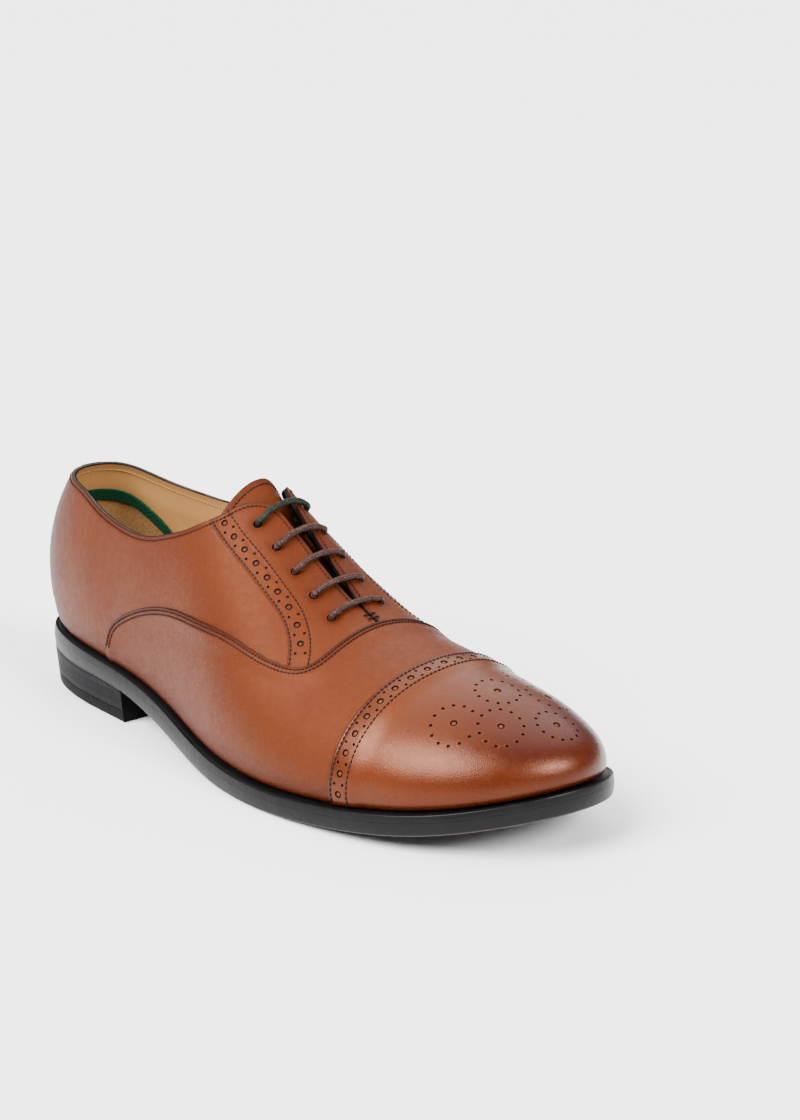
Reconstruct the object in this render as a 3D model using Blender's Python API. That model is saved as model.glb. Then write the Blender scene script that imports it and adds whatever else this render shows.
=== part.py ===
"""A leather oxford shoe for the right foot, built piece by piece.

Dimensions below are millimetres; the objects are in metres. X runs from the heel to the toe, +Y is the
inner side of the foot and +Z is up. Every upper piece lies on one closed surface, the outside of the
leather over the last. A place on it is a station and a wrap: the station is the angle (0 at the heel
back, pi at the toe tip) of a point on the sole's outline, and the wrap runs from -1 at the outer
feather line over 0 at the ridge to +1 at the inner feather line.
"""

import math

import bmesh
import bpy
import numpy as np
from mathutils import Matrix, Vector

MM = 0.001
OUTER, INNER = -1, 1

# Sole outline: (x, y) from the heel back round the outer side to the toe tip, then back on the inner side.
SOLE_LENGTH = 298.4
OUTER_EDGE = [(0, 0), (4, -14.5), (18, -25.3), (45, -32.3), (80, -35.6), (112, -40.6), (150, -49.8),
              (188, -54.0), (222, -51.0), (252, -44.0), (276, -31.0), (291, -14.5)]
INNER_EDGE = [(298.4, 8.5), (292.5, 26.5), (277, 38.8), (250, 46.4), (215, 49.3), (180, 45.2),
              (146, 35.2), (110, 29.3), (78, 30.3), (45, 31.8), (18, 25.3), (4, 14.5)]
BREAST_X = 76.0

# Heights along x: the sole's underside, and the feather line where the upper meets the welt.
UNDERSIDE = [(0, 17.6), (40, 15.8), (76, 13.9), (100, 9.6), (125, 4.6), (150, 1.1), (173, 0.0),
             (200, 0.7), (230, 3.2), (262, 8.3), (298, 17.2)]
FEATHER = [(0, 27.0), (30, 25.6), (60, 23.8), (90, 20.6), (120, 14.9), (150, 10.2), (180, 8.8),
           (210, 9.8), (240, 13.0), (270, 18.6), (298, 26.2)]
LEDGE = [(0, 2.5), (60, 2.6), (120, 3.0), (180, 3.4), (240, 3.4), (298, 3.2)]

# The ridge over the foot: its x for each x of the outline, then its y and z along that x.
RIDGE_X = [(0, 38), (20, 42), (50, 58), (80, 82), (110, 110), (150, 150), (200, 200), (240, 236.5),
           (270, 259), (290, 269.5), (298.4, 272)]
RIDGE_Y = [(38, 0), (80, 0.8), (130, 2.0), (180, 2.6), (230, 4.6), (272, 8.2)]
RIDGE_Z = [(38, 117), (60, 124), (85, 126), (105, 121), (120, 112.5), (137, 100), (150, 89.5),
           (165, 77.9), (180, 67.8), (195, 61.2), (210, 58.0), (229, 55.4), (245, 53.0), (260, 50.0),
           (272, 46.2)]

# Each rib from feather to ridge is one cubic curve: how far it leans out at its foot, and how long its
# lower and upper handles are as fractions of its height and of its half-width.
RIB_X = (0, 60, 120, 180, 240, SOLE_LENGTH)
LEAN = {OUTER: (0.33, 0.15, 0.10, 0.22, 0.22, 0.15), INNER: (0.33, 0.10, 0.00, 0.20, 0.26, 0.15)}
LOWER_HANDLE = {OUTER: (0.56, 0.50, 0.47, 0.50, 0.55, 0.60), INNER: (0.56, 0.50, 0.56, 0.66, 0.62, 0.60)}
UPPER_HANDLE = {OUTER: (0.46, 0.47, 0.56, 0.55, 0.52, 0.55), INNER: (0.46, 0.47, 0.64, 0.70, 0.58, 0.55)}

# Seams as (x, wrap) on the outer side; the inner side mirrors them unless it has its own line.
TOPLINE = {
    OUTER: [(0, 0.345), (10, 0.350), (22, 0.362), (36, 0.390), (51, 0.442), (65, 0.476), (78, 0.488),
            (90, 0.470), (100, 0.430), (111, 0.365), (120, 0.285)],
    INNER: [(0, 0.345), (10, 0.360), (20, 0.385), (32, 0.415), (45, 0.435), (60, 0.442), (74, 0.436),
            (88, 0.412), (100, 0.375), (111, 0.330), (120, 0.285)],
}
VAMP_CORNER = 0.62
FACING_TOP = {
    OUTER: [(120, 0.285), (125, 0.225), (129.5, 0.145), (133.0, 0.095), (136.5, 0.062), (142, 0.042)],
    INNER: [(120, 0.285), (123, 0.225), (126, 0.150), (128.0, 0.100), (130.5, 0.068), (136, 0.048)],
}
GAP_EDGE = [(150, 0.034), (165, 0.026), (178, 0.012), (184, 0.0045), (190.2, 0.0045)]
STRIP_EDGE = [(120, 0.285), (133, 0.298), (146, 0.300), (158, 0.310), (167.5, 0.327), (174.5, 0.370),
              (181, 0.460)]
VAMP_EDGE = [(64.5, 1.0), (63.2, 0.95), (67, 0.87), (76, 0.795), (89, 0.73), (104, 0.67), (119, 0.62),
             (136, 0.57), (153, 0.52), (167, 0.50), (176, 0.485), (181, 0.472), (186.5, 0.445), (190, 0.39),
             (191.2, 0.30), (191.2, 0.15), (191.0, 0.0)]
CAP_EDGE = [(221.5, 1.0), (221.0, 0.75), (221.5, 0.5), (223.5, 0.25), (225.5, 0.0)]
EYELETS = {
    OUTER: [(138.5, 0.150), (149.0, 0.147), (159.5, 0.149), (170.0, 0.155), (180.5, 0.166)],
    INNER: [(137.5, 0.120), (148.0, 0.117), (158.5, 0.119), (169.0, 0.125), (180.0, 0.137)],
}
GRIP_EDGE = [(0, 0.475), (13, 0.512), (20, 0.555), (27, 0.603), (36, 0.68), (46, 0.785), (58, 0.925)]

# Layers, as distances out from the leather's outside face.
LEATHER = (-1.1, 0.0)
RAISED = 1.65
STIFFENER = (-2.25, -1.6)
LINING = (-3.6, -2.75)
GRIP = (-4.9, -4.1)
GRIP_BAND = (-6.3, -5.4)
EYELET_RING = (-2.25, -1.65)
FOOT_WRAP = 0.993

LACE_RADIUS = 1.4
HOLE_RADIUS = 2.0
RING_RADII = (2.4, 4.2)
BEND_RADIUS = 2.2
LACE_OVER, LACE_UNDER = 1.9, -5.7

# Bottom: gaps between its layers, the welt's and the outsole's heights, and the heel's lifts.
GAP = 0.3
WELT_DROP = 0.6
WELT_THICK = 3.0
WELT_WIDTH = 11.0
BOARD_INSET = 4.4
HEEL_LEVELS = {"heel_top_piece": (0.0, 5.2), "heel_lift_1": (5.5, 8.7), "heel_lift_2": (9.0, 12.2)}
HEEL_TAPER = 1.8
NAIL_PLACES = [(16, 0), (30, 19), (30, -19), (56, 20), (56, -20)]
NAIL_RADIUS, NAIL_HEAD, NAIL_HOLE = 0.9, 2.0, 2.4
SHANK = (52, 148, 6.5, 1.0)

TONGUE_TOP_X, TONGUE_BASE_X = 124.5, 190.5
TONGUE_HALF = [(0, 36.0), (0.1, 36.5), (0.25, 32.0), (0.5, 22.0), (1, 13.0)]
TONGUE_WING, TONGUE_WING_DROP = 5.5, 2.2
TONGUE_SINK = [(0, -3.0), (0.06, -4.4), (0.11, -5.4), (0.16, -7.6), (0.2, -8.0), (0.88, -8.0), (1, -5.4)]
TONGUE_FREE = [(0.05, 1), (0.11, 0)]
TONGUE_SHOULDER = -4.7
TONGUE_SHOULDER_ALONG = [(0.05, 0), (0.11, 1), (0.12, 1), (0.18, 0)]
TONGUE_SHOULDER_ACROSS = [(0.1, 0), (0.55, 1)]
TONGUE_THICK, TONGUE_LINING_THICK = 1.2, 0.8

LEATHER_TAN = ((0.46, 0.155, 0.055), 0.38, 0.0)
LEATHER_TOE = ((0.33, 0.095, 0.04), 0.32, 0.0)
LINING_TAN = ((0.62, 0.42, 0.22), 0.6, 0.0)
SUEDE = ((0.46, 0.30, 0.15), 0.95, 0.0)
GREEN_TAPE = ((0.01, 0.12, 0.07), 0.8, 0.0)
BLACK_EDGE = ((0.02, 0.02, 0.022), 0.35, 0.0)
RUBBER = ((0.025, 0.025, 0.027), 0.55, 0.0)
BOARD = ((0.38, 0.27, 0.16), 0.85, 0.0)
CORK = ((0.36, 0.22, 0.12), 0.9, 0.0)
STEEL = ((0.6, 0.6, 0.62), 0.3, 1.0)
BRASS = ((0.72, 0.52, 0.2), 0.3, 1.0)
LACE_BROWN = ((0.09, 0.04, 0.035), 0.55, 0.0)
LACE_GREEN = ((0.012, 0.03, 0.022), 0.5, 0.0)
THREAD = ((0.05, 0.025, 0.02), 0.7, 0.0)
FELT = ((0.55, 0.5, 0.42), 0.9, 0.0)


class Spline:
    """A cubic curve with continuous curvature through points, open or closed with a period."""

    def __init__(self, points, period=None):
        xs, ys = np.array(points, float).T
        if period:
            xs = np.concatenate([xs[-4:] - period, xs, xs[:4] + period])
            ys = np.concatenate([ys[-4:], ys, ys[:4]])
        step, slope = np.diff(xs), np.diff(ys) / np.diff(xs)
        system, right = np.eye(len(xs)), np.zeros(len(xs))
        for i in range(1, len(xs) - 1):
            system[i, i - 1 : i + 2] = step[i - 1], 2 * (step[i - 1] + step[i]), step[i]
            right[i] = 6 * (slope[i] - slope[i - 1])
        self.xs, self.ys, self.period = xs, ys, period
        self.curve = np.linalg.solve(system, right)

    def __call__(self, x):
        x = np.asarray(x, float)
        if self.period:
            x = np.mod(x, self.period)
        i = np.clip(np.searchsorted(self.xs, x) - 1, 0, len(self.xs) - 2)
        step = self.xs[i + 1] - self.xs[i]
        a, b = (self.xs[i + 1] - x) / step, (x - self.xs[i]) / step
        bend = (a**3 - a) * self.curve[i] + (b**3 - b) * self.curve[i + 1]
        return a * self.ys[i] + b * self.ys[i + 1] + bend * step * step / 6


def station(x):
    """The station angle of the outline point at x."""
    return math.acos(max(-1.0, min(1.0, 1 - 2 * x / SOLE_LENGTH)))


def outline_spline():
    points = [(station(x), y) for x, y in OUTER_EDGE]
    points += [(2 * math.pi - station(x), y) for x, y in INNER_EDGE]
    return Spline(points, period=2 * math.pi)


outline_y = outline_spline()
underside = Spline(UNDERSIDE)
feather = Spline(FEATHER)
ledge = Spline(LEDGE)
ridge_x, ridge_y, ridge_z = Spline(RIDGE_X), Spline(RIDGE_Y), Spline(RIDGE_Z)
lean = {side: Spline(list(zip(RIB_X, LEAN[side]))) for side in (OUTER, INNER)}
lower_handle = {side: Spline(list(zip(RIB_X, LOWER_HANDLE[side]))) for side in (OUTER, INNER)}
upper_handle = {side: Spline(list(zip(RIB_X, UPPER_HANDLE[side]))) for side in (OUTER, INNER)}


def outline(angle, inset=0.0):
    """Points of the sole's outline and its outward normals; the angle runs on past pi up the inner side."""
    angle = np.asarray(angle, float)

    def raw(a):
        return np.stack([SOLE_LENGTH / 2 * (1 - np.cos(a)), outline_y(a)], -1)

    along = raw(angle + 1e-4) - raw(angle - 1e-4)
    along /= np.linalg.norm(along, axis=-1, keepdims=True)
    out = np.stack([along[..., 1], -along[..., 0]], -1)
    return raw(angle) - out * np.asarray(inset)[..., None], out


def rib_controls(angle, side):
    """The four control points of the rib that starts at each station on a side."""
    x = SOLE_LENGTH / 2 * (1 - np.cos(angle))
    foot_xy, out = outline(np.where(side < 0, angle, 2 * math.pi - angle), ledge(x))
    foot = np.concatenate([foot_xy, feather(foot_xy[..., :1])], -1)
    top_x = ridge_x(x)
    top = np.stack([top_x, ridge_y(top_x), ridge_z(top_x)], -1)
    slope = (ridge_z(top_x + 0.1) - ridge_z(top_x - 0.1)) / 0.2
    reach = foot_xy - top[..., :2]
    width = np.linalg.norm(reach, axis=-1, keepdims=True)
    reach = reach / width

    def of_side(splines):
        return np.where(side < 0, splines[OUTER](x), splines[INNER](x))[..., None]

    rise = of_side(lower_handle) * (top[..., 2:] - foot[..., 2:])
    low = foot + rise * np.concatenate([out * of_side(lean), np.ones_like(width)], -1)
    spread = of_side(upper_handle) * width
    high = top + spread * np.concatenate([reach, slope[..., None] * reach[..., :1]], -1)
    return foot, low, high, top


def bernstein(t):
    return (1 - t) ** 3, 3 * t * (1 - t) ** 2, 3 * t * t * (1 - t), t**3


def last_point(angle, wrap):
    """The surface point at a station and a wrap; stations past either end fold onto the other side."""
    angle, wrap = np.broadcast_arrays(np.asarray(angle, float), np.asarray(wrap, float))
    folded = (angle < 0) | (angle > math.pi)
    wrap = np.where(folded, -wrap, wrap)
    angle = np.where(angle < 0, -angle, np.where(angle > math.pi, 2 * math.pi - angle, angle))
    controls = rib_controls(angle, np.where(wrap < 0, OUTER, INNER))
    ts = np.linspace(0, 1, 33)
    trace = sum(c[..., None, :] * b[:, None] for c, b in zip(controls, bernstein(ts)))
    runs = np.linalg.norm(np.diff(trace, axis=-2), axis=-1).cumsum(-1)
    share = np.concatenate([np.zeros(runs.shape[:-1] + (1,)), runs], -1) / runs[..., -1:]
    target = (1 - np.abs(wrap))[..., None]
    k = np.clip((share < target).sum(-1, keepdims=True) - 1, 0, len(ts) - 2)
    low, high = np.take_along_axis(share, k, -1), np.take_along_axis(share, k + 1, -1)
    t = ts[k] + (target - low) / (high - low) * (ts[1] - ts[0])
    return sum(c * b for c, b in zip(controls, bernstein(t)))


def last_normal(angle, wrap):
    """Outward unit normals. Close to the ridge's two ends the station is held off the fold."""
    angle, wrap = np.broadcast_arrays(np.asarray(angle, float), np.asarray(wrap, float))
    angle = np.where(np.abs(wrap) < 0.05, np.clip(angle, 0.05, math.pi - 0.05), angle)
    along = last_point(angle + 1e-3, wrap) - last_point(angle - 1e-3, wrap)
    across = last_point(angle, wrap + 1e-3) - last_point(angle, wrap - 1e-3)
    normal = np.cross(along, across)
    return normal / np.linalg.norm(normal, axis=-1, keepdims=True)


def girth(x):
    """The length of the rib at x, in millimetres, for turning distances into wraps."""
    wraps = np.linspace(1e-6, 1, 60)
    trace = last_point(np.full(60, station(x)), -wraps)
    return float(np.linalg.norm(np.diff(trace, axis=0), axis=1).sum())


girth_at = Spline([(x, girth(x)) for x in range(0, 300, 20)])


def material_named(name, look):
    color, roughness, metallic = look
    material = bpy.data.materials.new(name)
    material.use_nodes = True
    shader = material.node_tree.nodes["Principled BSDF"]
    shader.inputs["Base Color"].default_value = (*color, 1)
    shader.inputs["Roughness"].default_value = roughness
    shader.inputs["Metallic"].default_value = metallic
    return material


def add_mesh(name, points, faces, look, weld=True, outward=True):
    """A named object from points in millimetres, closed by welding what coincides."""
    mesh = bpy.data.meshes.new(name)
    mesh.from_pydata([Vector(p) * MM for p in np.asarray(points, float).tolist()], [], faces)
    body = bmesh.new()
    body.from_mesh(mesh)
    if weld:
        bmesh.ops.remove_doubles(body, verts=body.verts, dist=1e-6)
        bmesh.ops.dissolve_degenerate(body, edges=body.edges, dist=1e-7)
    bmesh.ops.recalc_face_normals(body, faces=body.faces)
    if outward and body.calc_volume(signed=True) < 0:
        bmesh.ops.reverse_faces(body, faces=body.faces)
    body.to_mesh(mesh)
    body.free()
    mesh.materials.append(material_named(name, look))
    mesh.shade_smooth()
    mesh.set_sharp_from_angle(angle=math.radians(40))
    piece = bpy.data.objects.new(name, mesh)
    bpy.context.scene.collection.objects.link(piece)
    return piece


def grid_faces(rows, columns, start=0, flip=False):
    faces = []
    for i in range(rows - 1):
        for j in range(columns - 1):
            a = start + i * columns + j
            quad = (a, a + 1, a + columns + 1, a + columns)
            faces.append(quad[::-1] if flip else quad)
    return faces


def shell(name, angles, wraps, low, high, look, folded=False):
    """A closed piece between two distances from the surface, over a grid of stations and wraps.

    A folded grid ends on the toe's fold line, where its two halves meet and no rim is needed.
    """
    rows, columns = angles.shape
    base, normal = last_point(angles, wraps), last_normal(angles, wraps)
    sheets = [base + normal * np.broadcast_to(level, angles.shape)[..., None] for level in (low, high)]
    points = np.concatenate([sheet.reshape(-1, 3) for sheet in sheets])
    count = rows * columns
    faces = grid_faces(rows, columns) + grid_faces(rows, columns, count, flip=True)
    rim = [(i, j) for i in (0, rows - 1) for j in range(columns - 1) if not (folded and i == rows - 1)]
    for i, j in rim:
        a = i * columns + j
        faces.append((a, a + 1, a + 1 + count, a + count))
    for j in (0, columns - 1):
        for i in range(rows - 1):
            a = i * columns + j
            faces.append((a, a + columns, a + columns + count, a + count))
    return add_mesh(name, points, faces, look)


def seam(points, side=OUTER):
    """A smooth line through (x, wrap) points, as a function of 0..1 giving (station, signed wrap)."""
    places = np.array([(station(x), wrap * side) for x, wrap in points])
    scale = np.array([SOLE_LENGTH / 2, 90.0])
    runs = np.linalg.norm(np.diff(places * scale, axis=0), axis=1)
    share = np.concatenate([[0], runs.cumsum()]) / runs.sum()
    lines = [Spline(list(zip(share, places[:, k]))) for k in (0, 1)]
    return lambda t: np.stack([line(t) for line in lines], -1)


def moved_seam(points, distance):
    """Points of a seam moved sideways: positive distances go towards the toe and the feather."""
    places = np.array(points, float)
    spread = places * (1, 90.0)
    along = np.gradient(spread, axis=0)
    along /= np.linalg.norm(along, axis=1, keepdims=True)
    side = np.stack([-along[:, 1], along[:, 0]], -1)
    return (spread + side * distance) / (1, 90.0)


def patch(first, last, start, end, s_values, t_values):
    """A four-sided patch: first and last run along t at s=0 and s=1, start and end along s."""
    s, t = np.broadcast_arrays(np.asarray(s_values, float), np.asarray(t_values, float)[None, :])
    blend = first(t) * (1 - s)[..., None] + last(t) * s[..., None]
    blend += start(s) * (1 - t)[..., None] + end(s) * t[..., None]
    for corner_s, corner_t in ((0, 0), (0, 1), (1, 0), (1, 1)):
        corner = (first if corner_s == 0 else last)(np.array(float(corner_t)))
        weight = (s if corner_s else 1 - s) * (t if corner_t else 1 - t)
        blend -= corner * weight[..., None]
    return blend[..., 0], blend[..., 1]


def column(values):
    return np.asarray(values, float)[:, None]


def ramp(distance, start, end):
    """1 up to start, falling smoothly to 0 at end."""
    t = np.clip((np.asarray(distance) - start) / (end - start), 0, 1)
    return 1 - t * t * (3 - 2 * t)


def slab(name, inset, low, high, start, end, look, steps=40):
    """A layer of the bottom between two heights, which are functions of x, over part of the outline."""
    angles = np.linspace(start, end, steps)
    outer, _ = outline(angles, inset(angles) if callable(inset) else np.full(steps, inset))
    inner, _ = outline(2 * math.pi - angles, inset(angles) if callable(inset) else np.full(steps, inset))
    rings = []
    for edge, level in ((outer, low), (inner, low), (inner, high), (outer, high)):
        rings.append(np.column_stack([edge, np.broadcast_to(level(edge[:, 0]), steps)]))
    points = np.stack(rings, 1).reshape(-1, 3)
    faces = [(4 * i + k, 4 * i + (k + 1) % 4, 4 * i + 4 + (k + 1) % 4, 4 * i + 4 + k)
             for i in range(steps - 1) for k in range(4)]
    last = 4 * (steps - 1)
    if start > 0:
        faces.append((0, 1, 2, 3))
    if end < math.pi:
        faces.append((last + 3, last + 2, last + 1, last))
    return add_mesh(name, points, faces, look)


def clear_scene():
    for thing in list(bpy.data.objects):
        bpy.data.objects.remove(thing, do_unlink=True)


def welt_top(x):
    return feather(x) - WELT_DROP


def welt_bottom(x):
    return feather(x) - WELT_DROP - WELT_THICK


def outsole():
    slab("outsole", 0.0, underside, lambda x: welt_bottom(x) - GAP, 0, math.pi, BLACK_EDGE, steps=56)


def welt():
    """The strip that shows as a ledge round the upper."""
    steps = 80
    angles = np.linspace(0, 2 * math.pi, steps, endpoint=False)
    outer, _ = outline(angles, np.zeros(steps))
    inner, _ = outline(angles, np.full(steps, WELT_WIDTH))
    corners = ((outer, welt_bottom), (inner, welt_bottom), (inner, welt_top), (outer, welt_top))
    rings = [np.column_stack([edge, level(edge[:, 0])]) for edge, level in corners]
    points = np.stack(rings, 1).reshape(-1, 3)
    faces = []
    for i in range(steps):
        n = (i + 1) % steps
        faces += [(4 * i + k, 4 * i + (k + 1) % 4, 4 * n + (k + 1) % 4, 4 * n + k) for k in range(4)]
    add_mesh("welt", points, faces, BLACK_EDGE)


def fillings():
    """What lies inside the welt, and the board and sock on top of it."""
    inside = WELT_WIDTH + 0.6
    slab("cork_filler", inside, lambda x: welt_bottom(x) + 0.3, lambda x: welt_top(x) - 0.2,
         station(158), math.pi, CORK, steps=22)
    slab("heel_seat_filler", inside, lambda x: welt_bottom(x) + 0.3, lambda x: welt_top(x) - 0.2,
         0, station(48), FELT, steps=14)
    start, end, half, thick = SHANK
    xs = np.linspace(start, end, 14)
    low = welt_bottom(xs) + 0.6
    rings = []
    for y, rise in ((-half, 0), (half, 0), (half, thick), (-half, thick)):
        rings.append(np.column_stack([xs, np.full(14, y - 2.0), low + rise]))
    points = np.stack(rings, 1).reshape(-1, 3)
    faces = [(4 * i + k, 4 * i + (k + 1) % 4, 4 * i + 4 + (k + 1) % 4, 4 * i + 4 + k)
             for i in range(13) for k in range(4)]
    faces += [(0, 1, 2, 3), (55, 54, 53, 52)]
    add_mesh("shank", points, faces, STEEL)

    def board_inset(angles):
        return ledge(SOLE_LENGTH / 2 * (1 - np.cos(angles))) + BOARD_INSET

    slab("insole_board", board_inset, lambda x: welt_top(x) + 0.3, lambda x: welt_top(x) + 2.5,
         0, math.pi, BOARD, steps=44)
    slab("sock_lining", board_inset, lambda x: welt_top(x) + 2.8, lambda x: welt_top(x) + 3.6,
         0, math.pi, LINING_TAN, steps=44)


def heel_inset(z):
    return 0.2 + HEEL_TAPER * (1 - z / 17.0)


def nail_cutter(top):
    """One cutter holding the five nail holes, up to a height."""
    body = bmesh.new()
    for x, y in NAIL_PLACES:
        place = Matrix.Translation(Vector((x, y, top / 2)) * MM)
        bmesh.ops.create_cone(body, cap_ends=True, segments=10, radius1=NAIL_HOLE * MM,
                              radius2=NAIL_HOLE * MM, depth=(top + 6) * MM, matrix=place)
    mesh = bpy.data.meshes.new("nail_cutter")
    body.to_mesh(mesh)
    body.free()
    cutter = bpy.data.objects.new("nail_cutter", mesh)
    bpy.context.scene.collection.objects.link(cutter)
    cutter.hide_render = True
    cutter.display_type = "WIRE"
    return cutter


def cut(piece, cutter):
    modifier = piece.modifiers.new("holes", "BOOLEAN")
    modifier.operation = "DIFFERENCE"
    modifier.solver = "EXACT"
    modifier.object = cutter


def heel():
    """Four stacked layers, tapering down, nailed from below."""
    cutter = nail_cutter(12.6)
    for name, (low, high) in HEEL_LEVELS.items():
        look = RUBBER if name == "heel_top_piece" else BLACK_EDGE
        taper = heel_inset((low + high) / 2)
        piece = slab(name, taper, lambda x, z=low: z, lambda x, z=high: z,
                     0, station(BREAST_X), look, steps=18)
        cut(piece, cutter)
    slab("heel_rand", heel_inset(13), lambda x: 12.5, lambda x: underside(x) - GAP,
         0, station(BREAST_X), BLACK_EDGE, steps=18)
    for number, (x, y) in enumerate(NAIL_PLACES, 1):
        body = bmesh.new()
        profile = [(NAIL_HEAD, 0.4), (NAIL_HEAD, 1.4), (NAIL_RADIUS, 1.8), (NAIL_RADIUS, 12.2)]
        rings = []
        for radius, z in profile:
            turn = [2 * math.pi * k / 8 for k in range(8)]
            rings.append([body.verts.new(Vector((x + radius * math.cos(a), y + radius * math.sin(a), z)) * MM)
                          for a in turn])
        for lower, upper in zip(rings, rings[1:]):
            for k in range(8):
                body.faces.new((lower[k], lower[(k + 1) % 8], upper[(k + 1) % 8], upper[k]))
        body.faces.new(rings[0][::-1])
        body.faces.new(rings[-1])
        mesh = bpy.data.meshes.new(f"heel_nail_{number}")
        body.to_mesh(mesh)
        body.free()
        mesh.materials.append(material_named(f"heel_nail_{number}", BRASS))
        mesh.shade_smooth()
        mesh.set_sharp_from_angle(angle=math.radians(40))
        nail = bpy.data.objects.new(f"heel_nail_{number}", mesh)
        bpy.context.scene.collection.objects.link(nail)


def both_sides(line):
    """A line over both sides, from one for the outer side that runs from 0 at its foot to 1 on the ridge."""

    def whole(t):
        t = np.asarray(t, float)
        place = line(1 - np.abs(2 * t - 1))
        return np.stack([place[..., 0], place[..., 1] * np.where(t > 0.5, -1, 1)], -1)

    return whole


def toe_cap():
    """The cap, its rear edge raised over the vamp."""
    wraps = np.linspace(-FOOT_WRAP, FOOT_WRAP, 27)
    rear = Spline([(wrap * side, x) for side, points in ((-1, CAP_EDGE), (1, CAP_EDGE[:-1][::-1]))
                   for x, wrap in points])(wraps)
    near = [np.arccos(1 - 2 * (rear + d) / SOLE_LENGTH) for d in (0, 4, 8, 12)]
    far = [near[-1] + (math.pi - near[-1]) * (k / 7) for k in range(1, 8)]
    angles = np.array(near + far)
    lift = RAISED * column([1, 1, 1] + [0] * 8)
    low, high = LEATHER
    wraps = np.broadcast_to(wraps, angles.shape)
    shell("toe_cap", angles, wraps, low + lift, high + lift, LEATHER_TOE, folded=True)


def vamp():
    """From its long rear seam down to the feather and forward to just under the cap.

    It is raised where it laps over the quarters. Its grid turns the corner from feather to cap at one column.
    """
    rear = seam([point for point in VAMP_EDGE if point[1] <= 0.95])
    front = seam([(x + 5.5, min(wrap, FOOT_WRAP)) for x, wrap in CAP_EDGE])
    tip, corner = station(65.0), station(CAP_EDGE[0][0] + 5.5)

    def foot_then_front(t):
        t = np.asarray(t, float)
        along = tip + (corner - tip) * np.clip(t / VAMP_CORNER, 0, 1)
        foot = np.stack([along, np.full(t.shape, -FOOT_WRAP)], -1)
        ahead = front(np.clip((t - VAMP_CORNER) / (1 - VAMP_CORNER), 0, 1))
        return np.where((t > VAMP_CORNER)[..., None], ahead, foot)

    half = np.concatenate([np.linspace(0, VAMP_CORNER, 15), np.linspace(VAMP_CORNER, 1, 9)[1:]]) / 2
    t_values = np.concatenate([half, (1 - half[:-1])[::-1]])
    first, last = both_sides(rear), both_sides(foot_then_front)
    width = np.linalg.norm(last_point(*first(t_values).T) - last_point(*last(t_values).T), axis=-1)
    rows = [np.minimum(k / 12, distance / width) for k, distance in enumerate((0.0, 4.5, 9.0, 12.5))]
    rows += [rows[3] + (1 - rows[3]) * k / 6 for k in range(1, 7)]
    s_values = np.array(rows)[..., None]
    near, far = first(t_values), last(t_values)
    place = near * (1 - s_values) + far * s_values
    over_quarter = ramp(-np.abs(near[:, 1]), -0.42, -0.33)
    lift = RAISED * ramp(s_values[..., 0] * width, 9.0, 12.5) * over_quarter
    low, high = LEATHER
    shell("vamp", place[..., 0], place[..., 1], low + lift, high + lift, LEATHER_TAN)


def quarter(name, side):
    """From the back seam to the facing and vamp, running under both."""
    start = 0.003
    under_vamp = [tuple(p) for p in moved_seam(VAMP_EDGE[1:13], 5.0)]
    foot = [(x, FOOT_WRAP) for x in (6, 20, 40, 58)]
    bottom_points = [(0, FOOT_WRAP)] + foot + [(68, 0.972)] + [p for p in under_vamp[2:-1]]
    under_facing = [tuple(p) for p in moved_seam(STRIP_EDGE, -5.0)]
    top_points = TOPLINE[side] + [(126, 0.262)] + under_facing[2:-1] + [(184.5, 0.405)]
    bottom, top = seam(bottom_points, side), seam(top_points, side)
    t_values = np.linspace(0, 1, 27) ** 1.25
    s_values = column(np.linspace(0, 1, 8))
    ends = []
    for t in (0.0, 1.0):
        low, high = bottom(np.array(t)), top(np.array(t))
        ends.append(lambda s, low=low, high=high: low + (high - low) * np.asarray(s)[..., None])
    angles, wraps = patch(bottom, top, *ends, s_values, t_values)
    shell(name, np.maximum(angles, start), wraps, *LEATHER, LEATHER_TAN)


def facing_patch(side, bottom_line, s_values, t_values):
    gap, strip = seam(FACING_TOP[side][-1:] + GAP_EDGE, side), seam(STRIP_EDGE, side)
    top = seam(FACING_TOP[side], side)
    return patch(strip, gap, top, seam(bottom_line, side), s_values, t_values)


def facing(name, side):
    """The lacing panel: its outer edge is raised over the quarter and its lower end butts the vamp."""
    lower = [(181, 0.460), (186, 0.432), (189.3, 0.385), (190.3, 0.30), (190.3, 0.15), (190.2, 0.0045)]
    s_values = column([0, 0.16, 0.32, 0.48, 0.62, 0.75, 0.88, 1])
    angles, wraps = facing_patch(side, lower, s_values, np.linspace(0, 1, 15))
    lift = RAISED * column([1, 1, 1, 0, 0, 0, 0, 0])
    low, high = LEATHER
    return shell(name, angles, wraps, low + lift, high + lift, LEATHER_TAN)


def quarter_lining(name, side):
    """One panel of lining from the heel to the throat, under the quarter and the facing."""
    bottom = seam([(0, FOOT_WRAP), (10, FOOT_WRAP), (30, FOOT_WRAP), (60, FOOT_WRAP), (90, FOOT_WRAP),
                   (120, FOOT_WRAP), (150, FOOT_WRAP)], side)
    top_points = TOPLINE[side][:-1] + FACING_TOP[side] + GAP_EDGE
    top = seam(top_points, side)
    t_values = np.linspace(0, 1, 26)
    s_values = column(1 - (1 - np.linspace(0, 1, 14)) ** 1.35)
    ends = []
    for t in (0.0, 1.0):
        low, high = bottom(np.array(t)), top(np.array(t))
        ends.append(lambda s, low=low, high=high: low + (high - low) * np.asarray(s)[..., None])
    angles, wraps = patch(bottom, top, *ends, s_values, t_values)
    return shell(name, np.maximum(angles, 0.004), wraps, *LINING, LINING_TAN)


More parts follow.
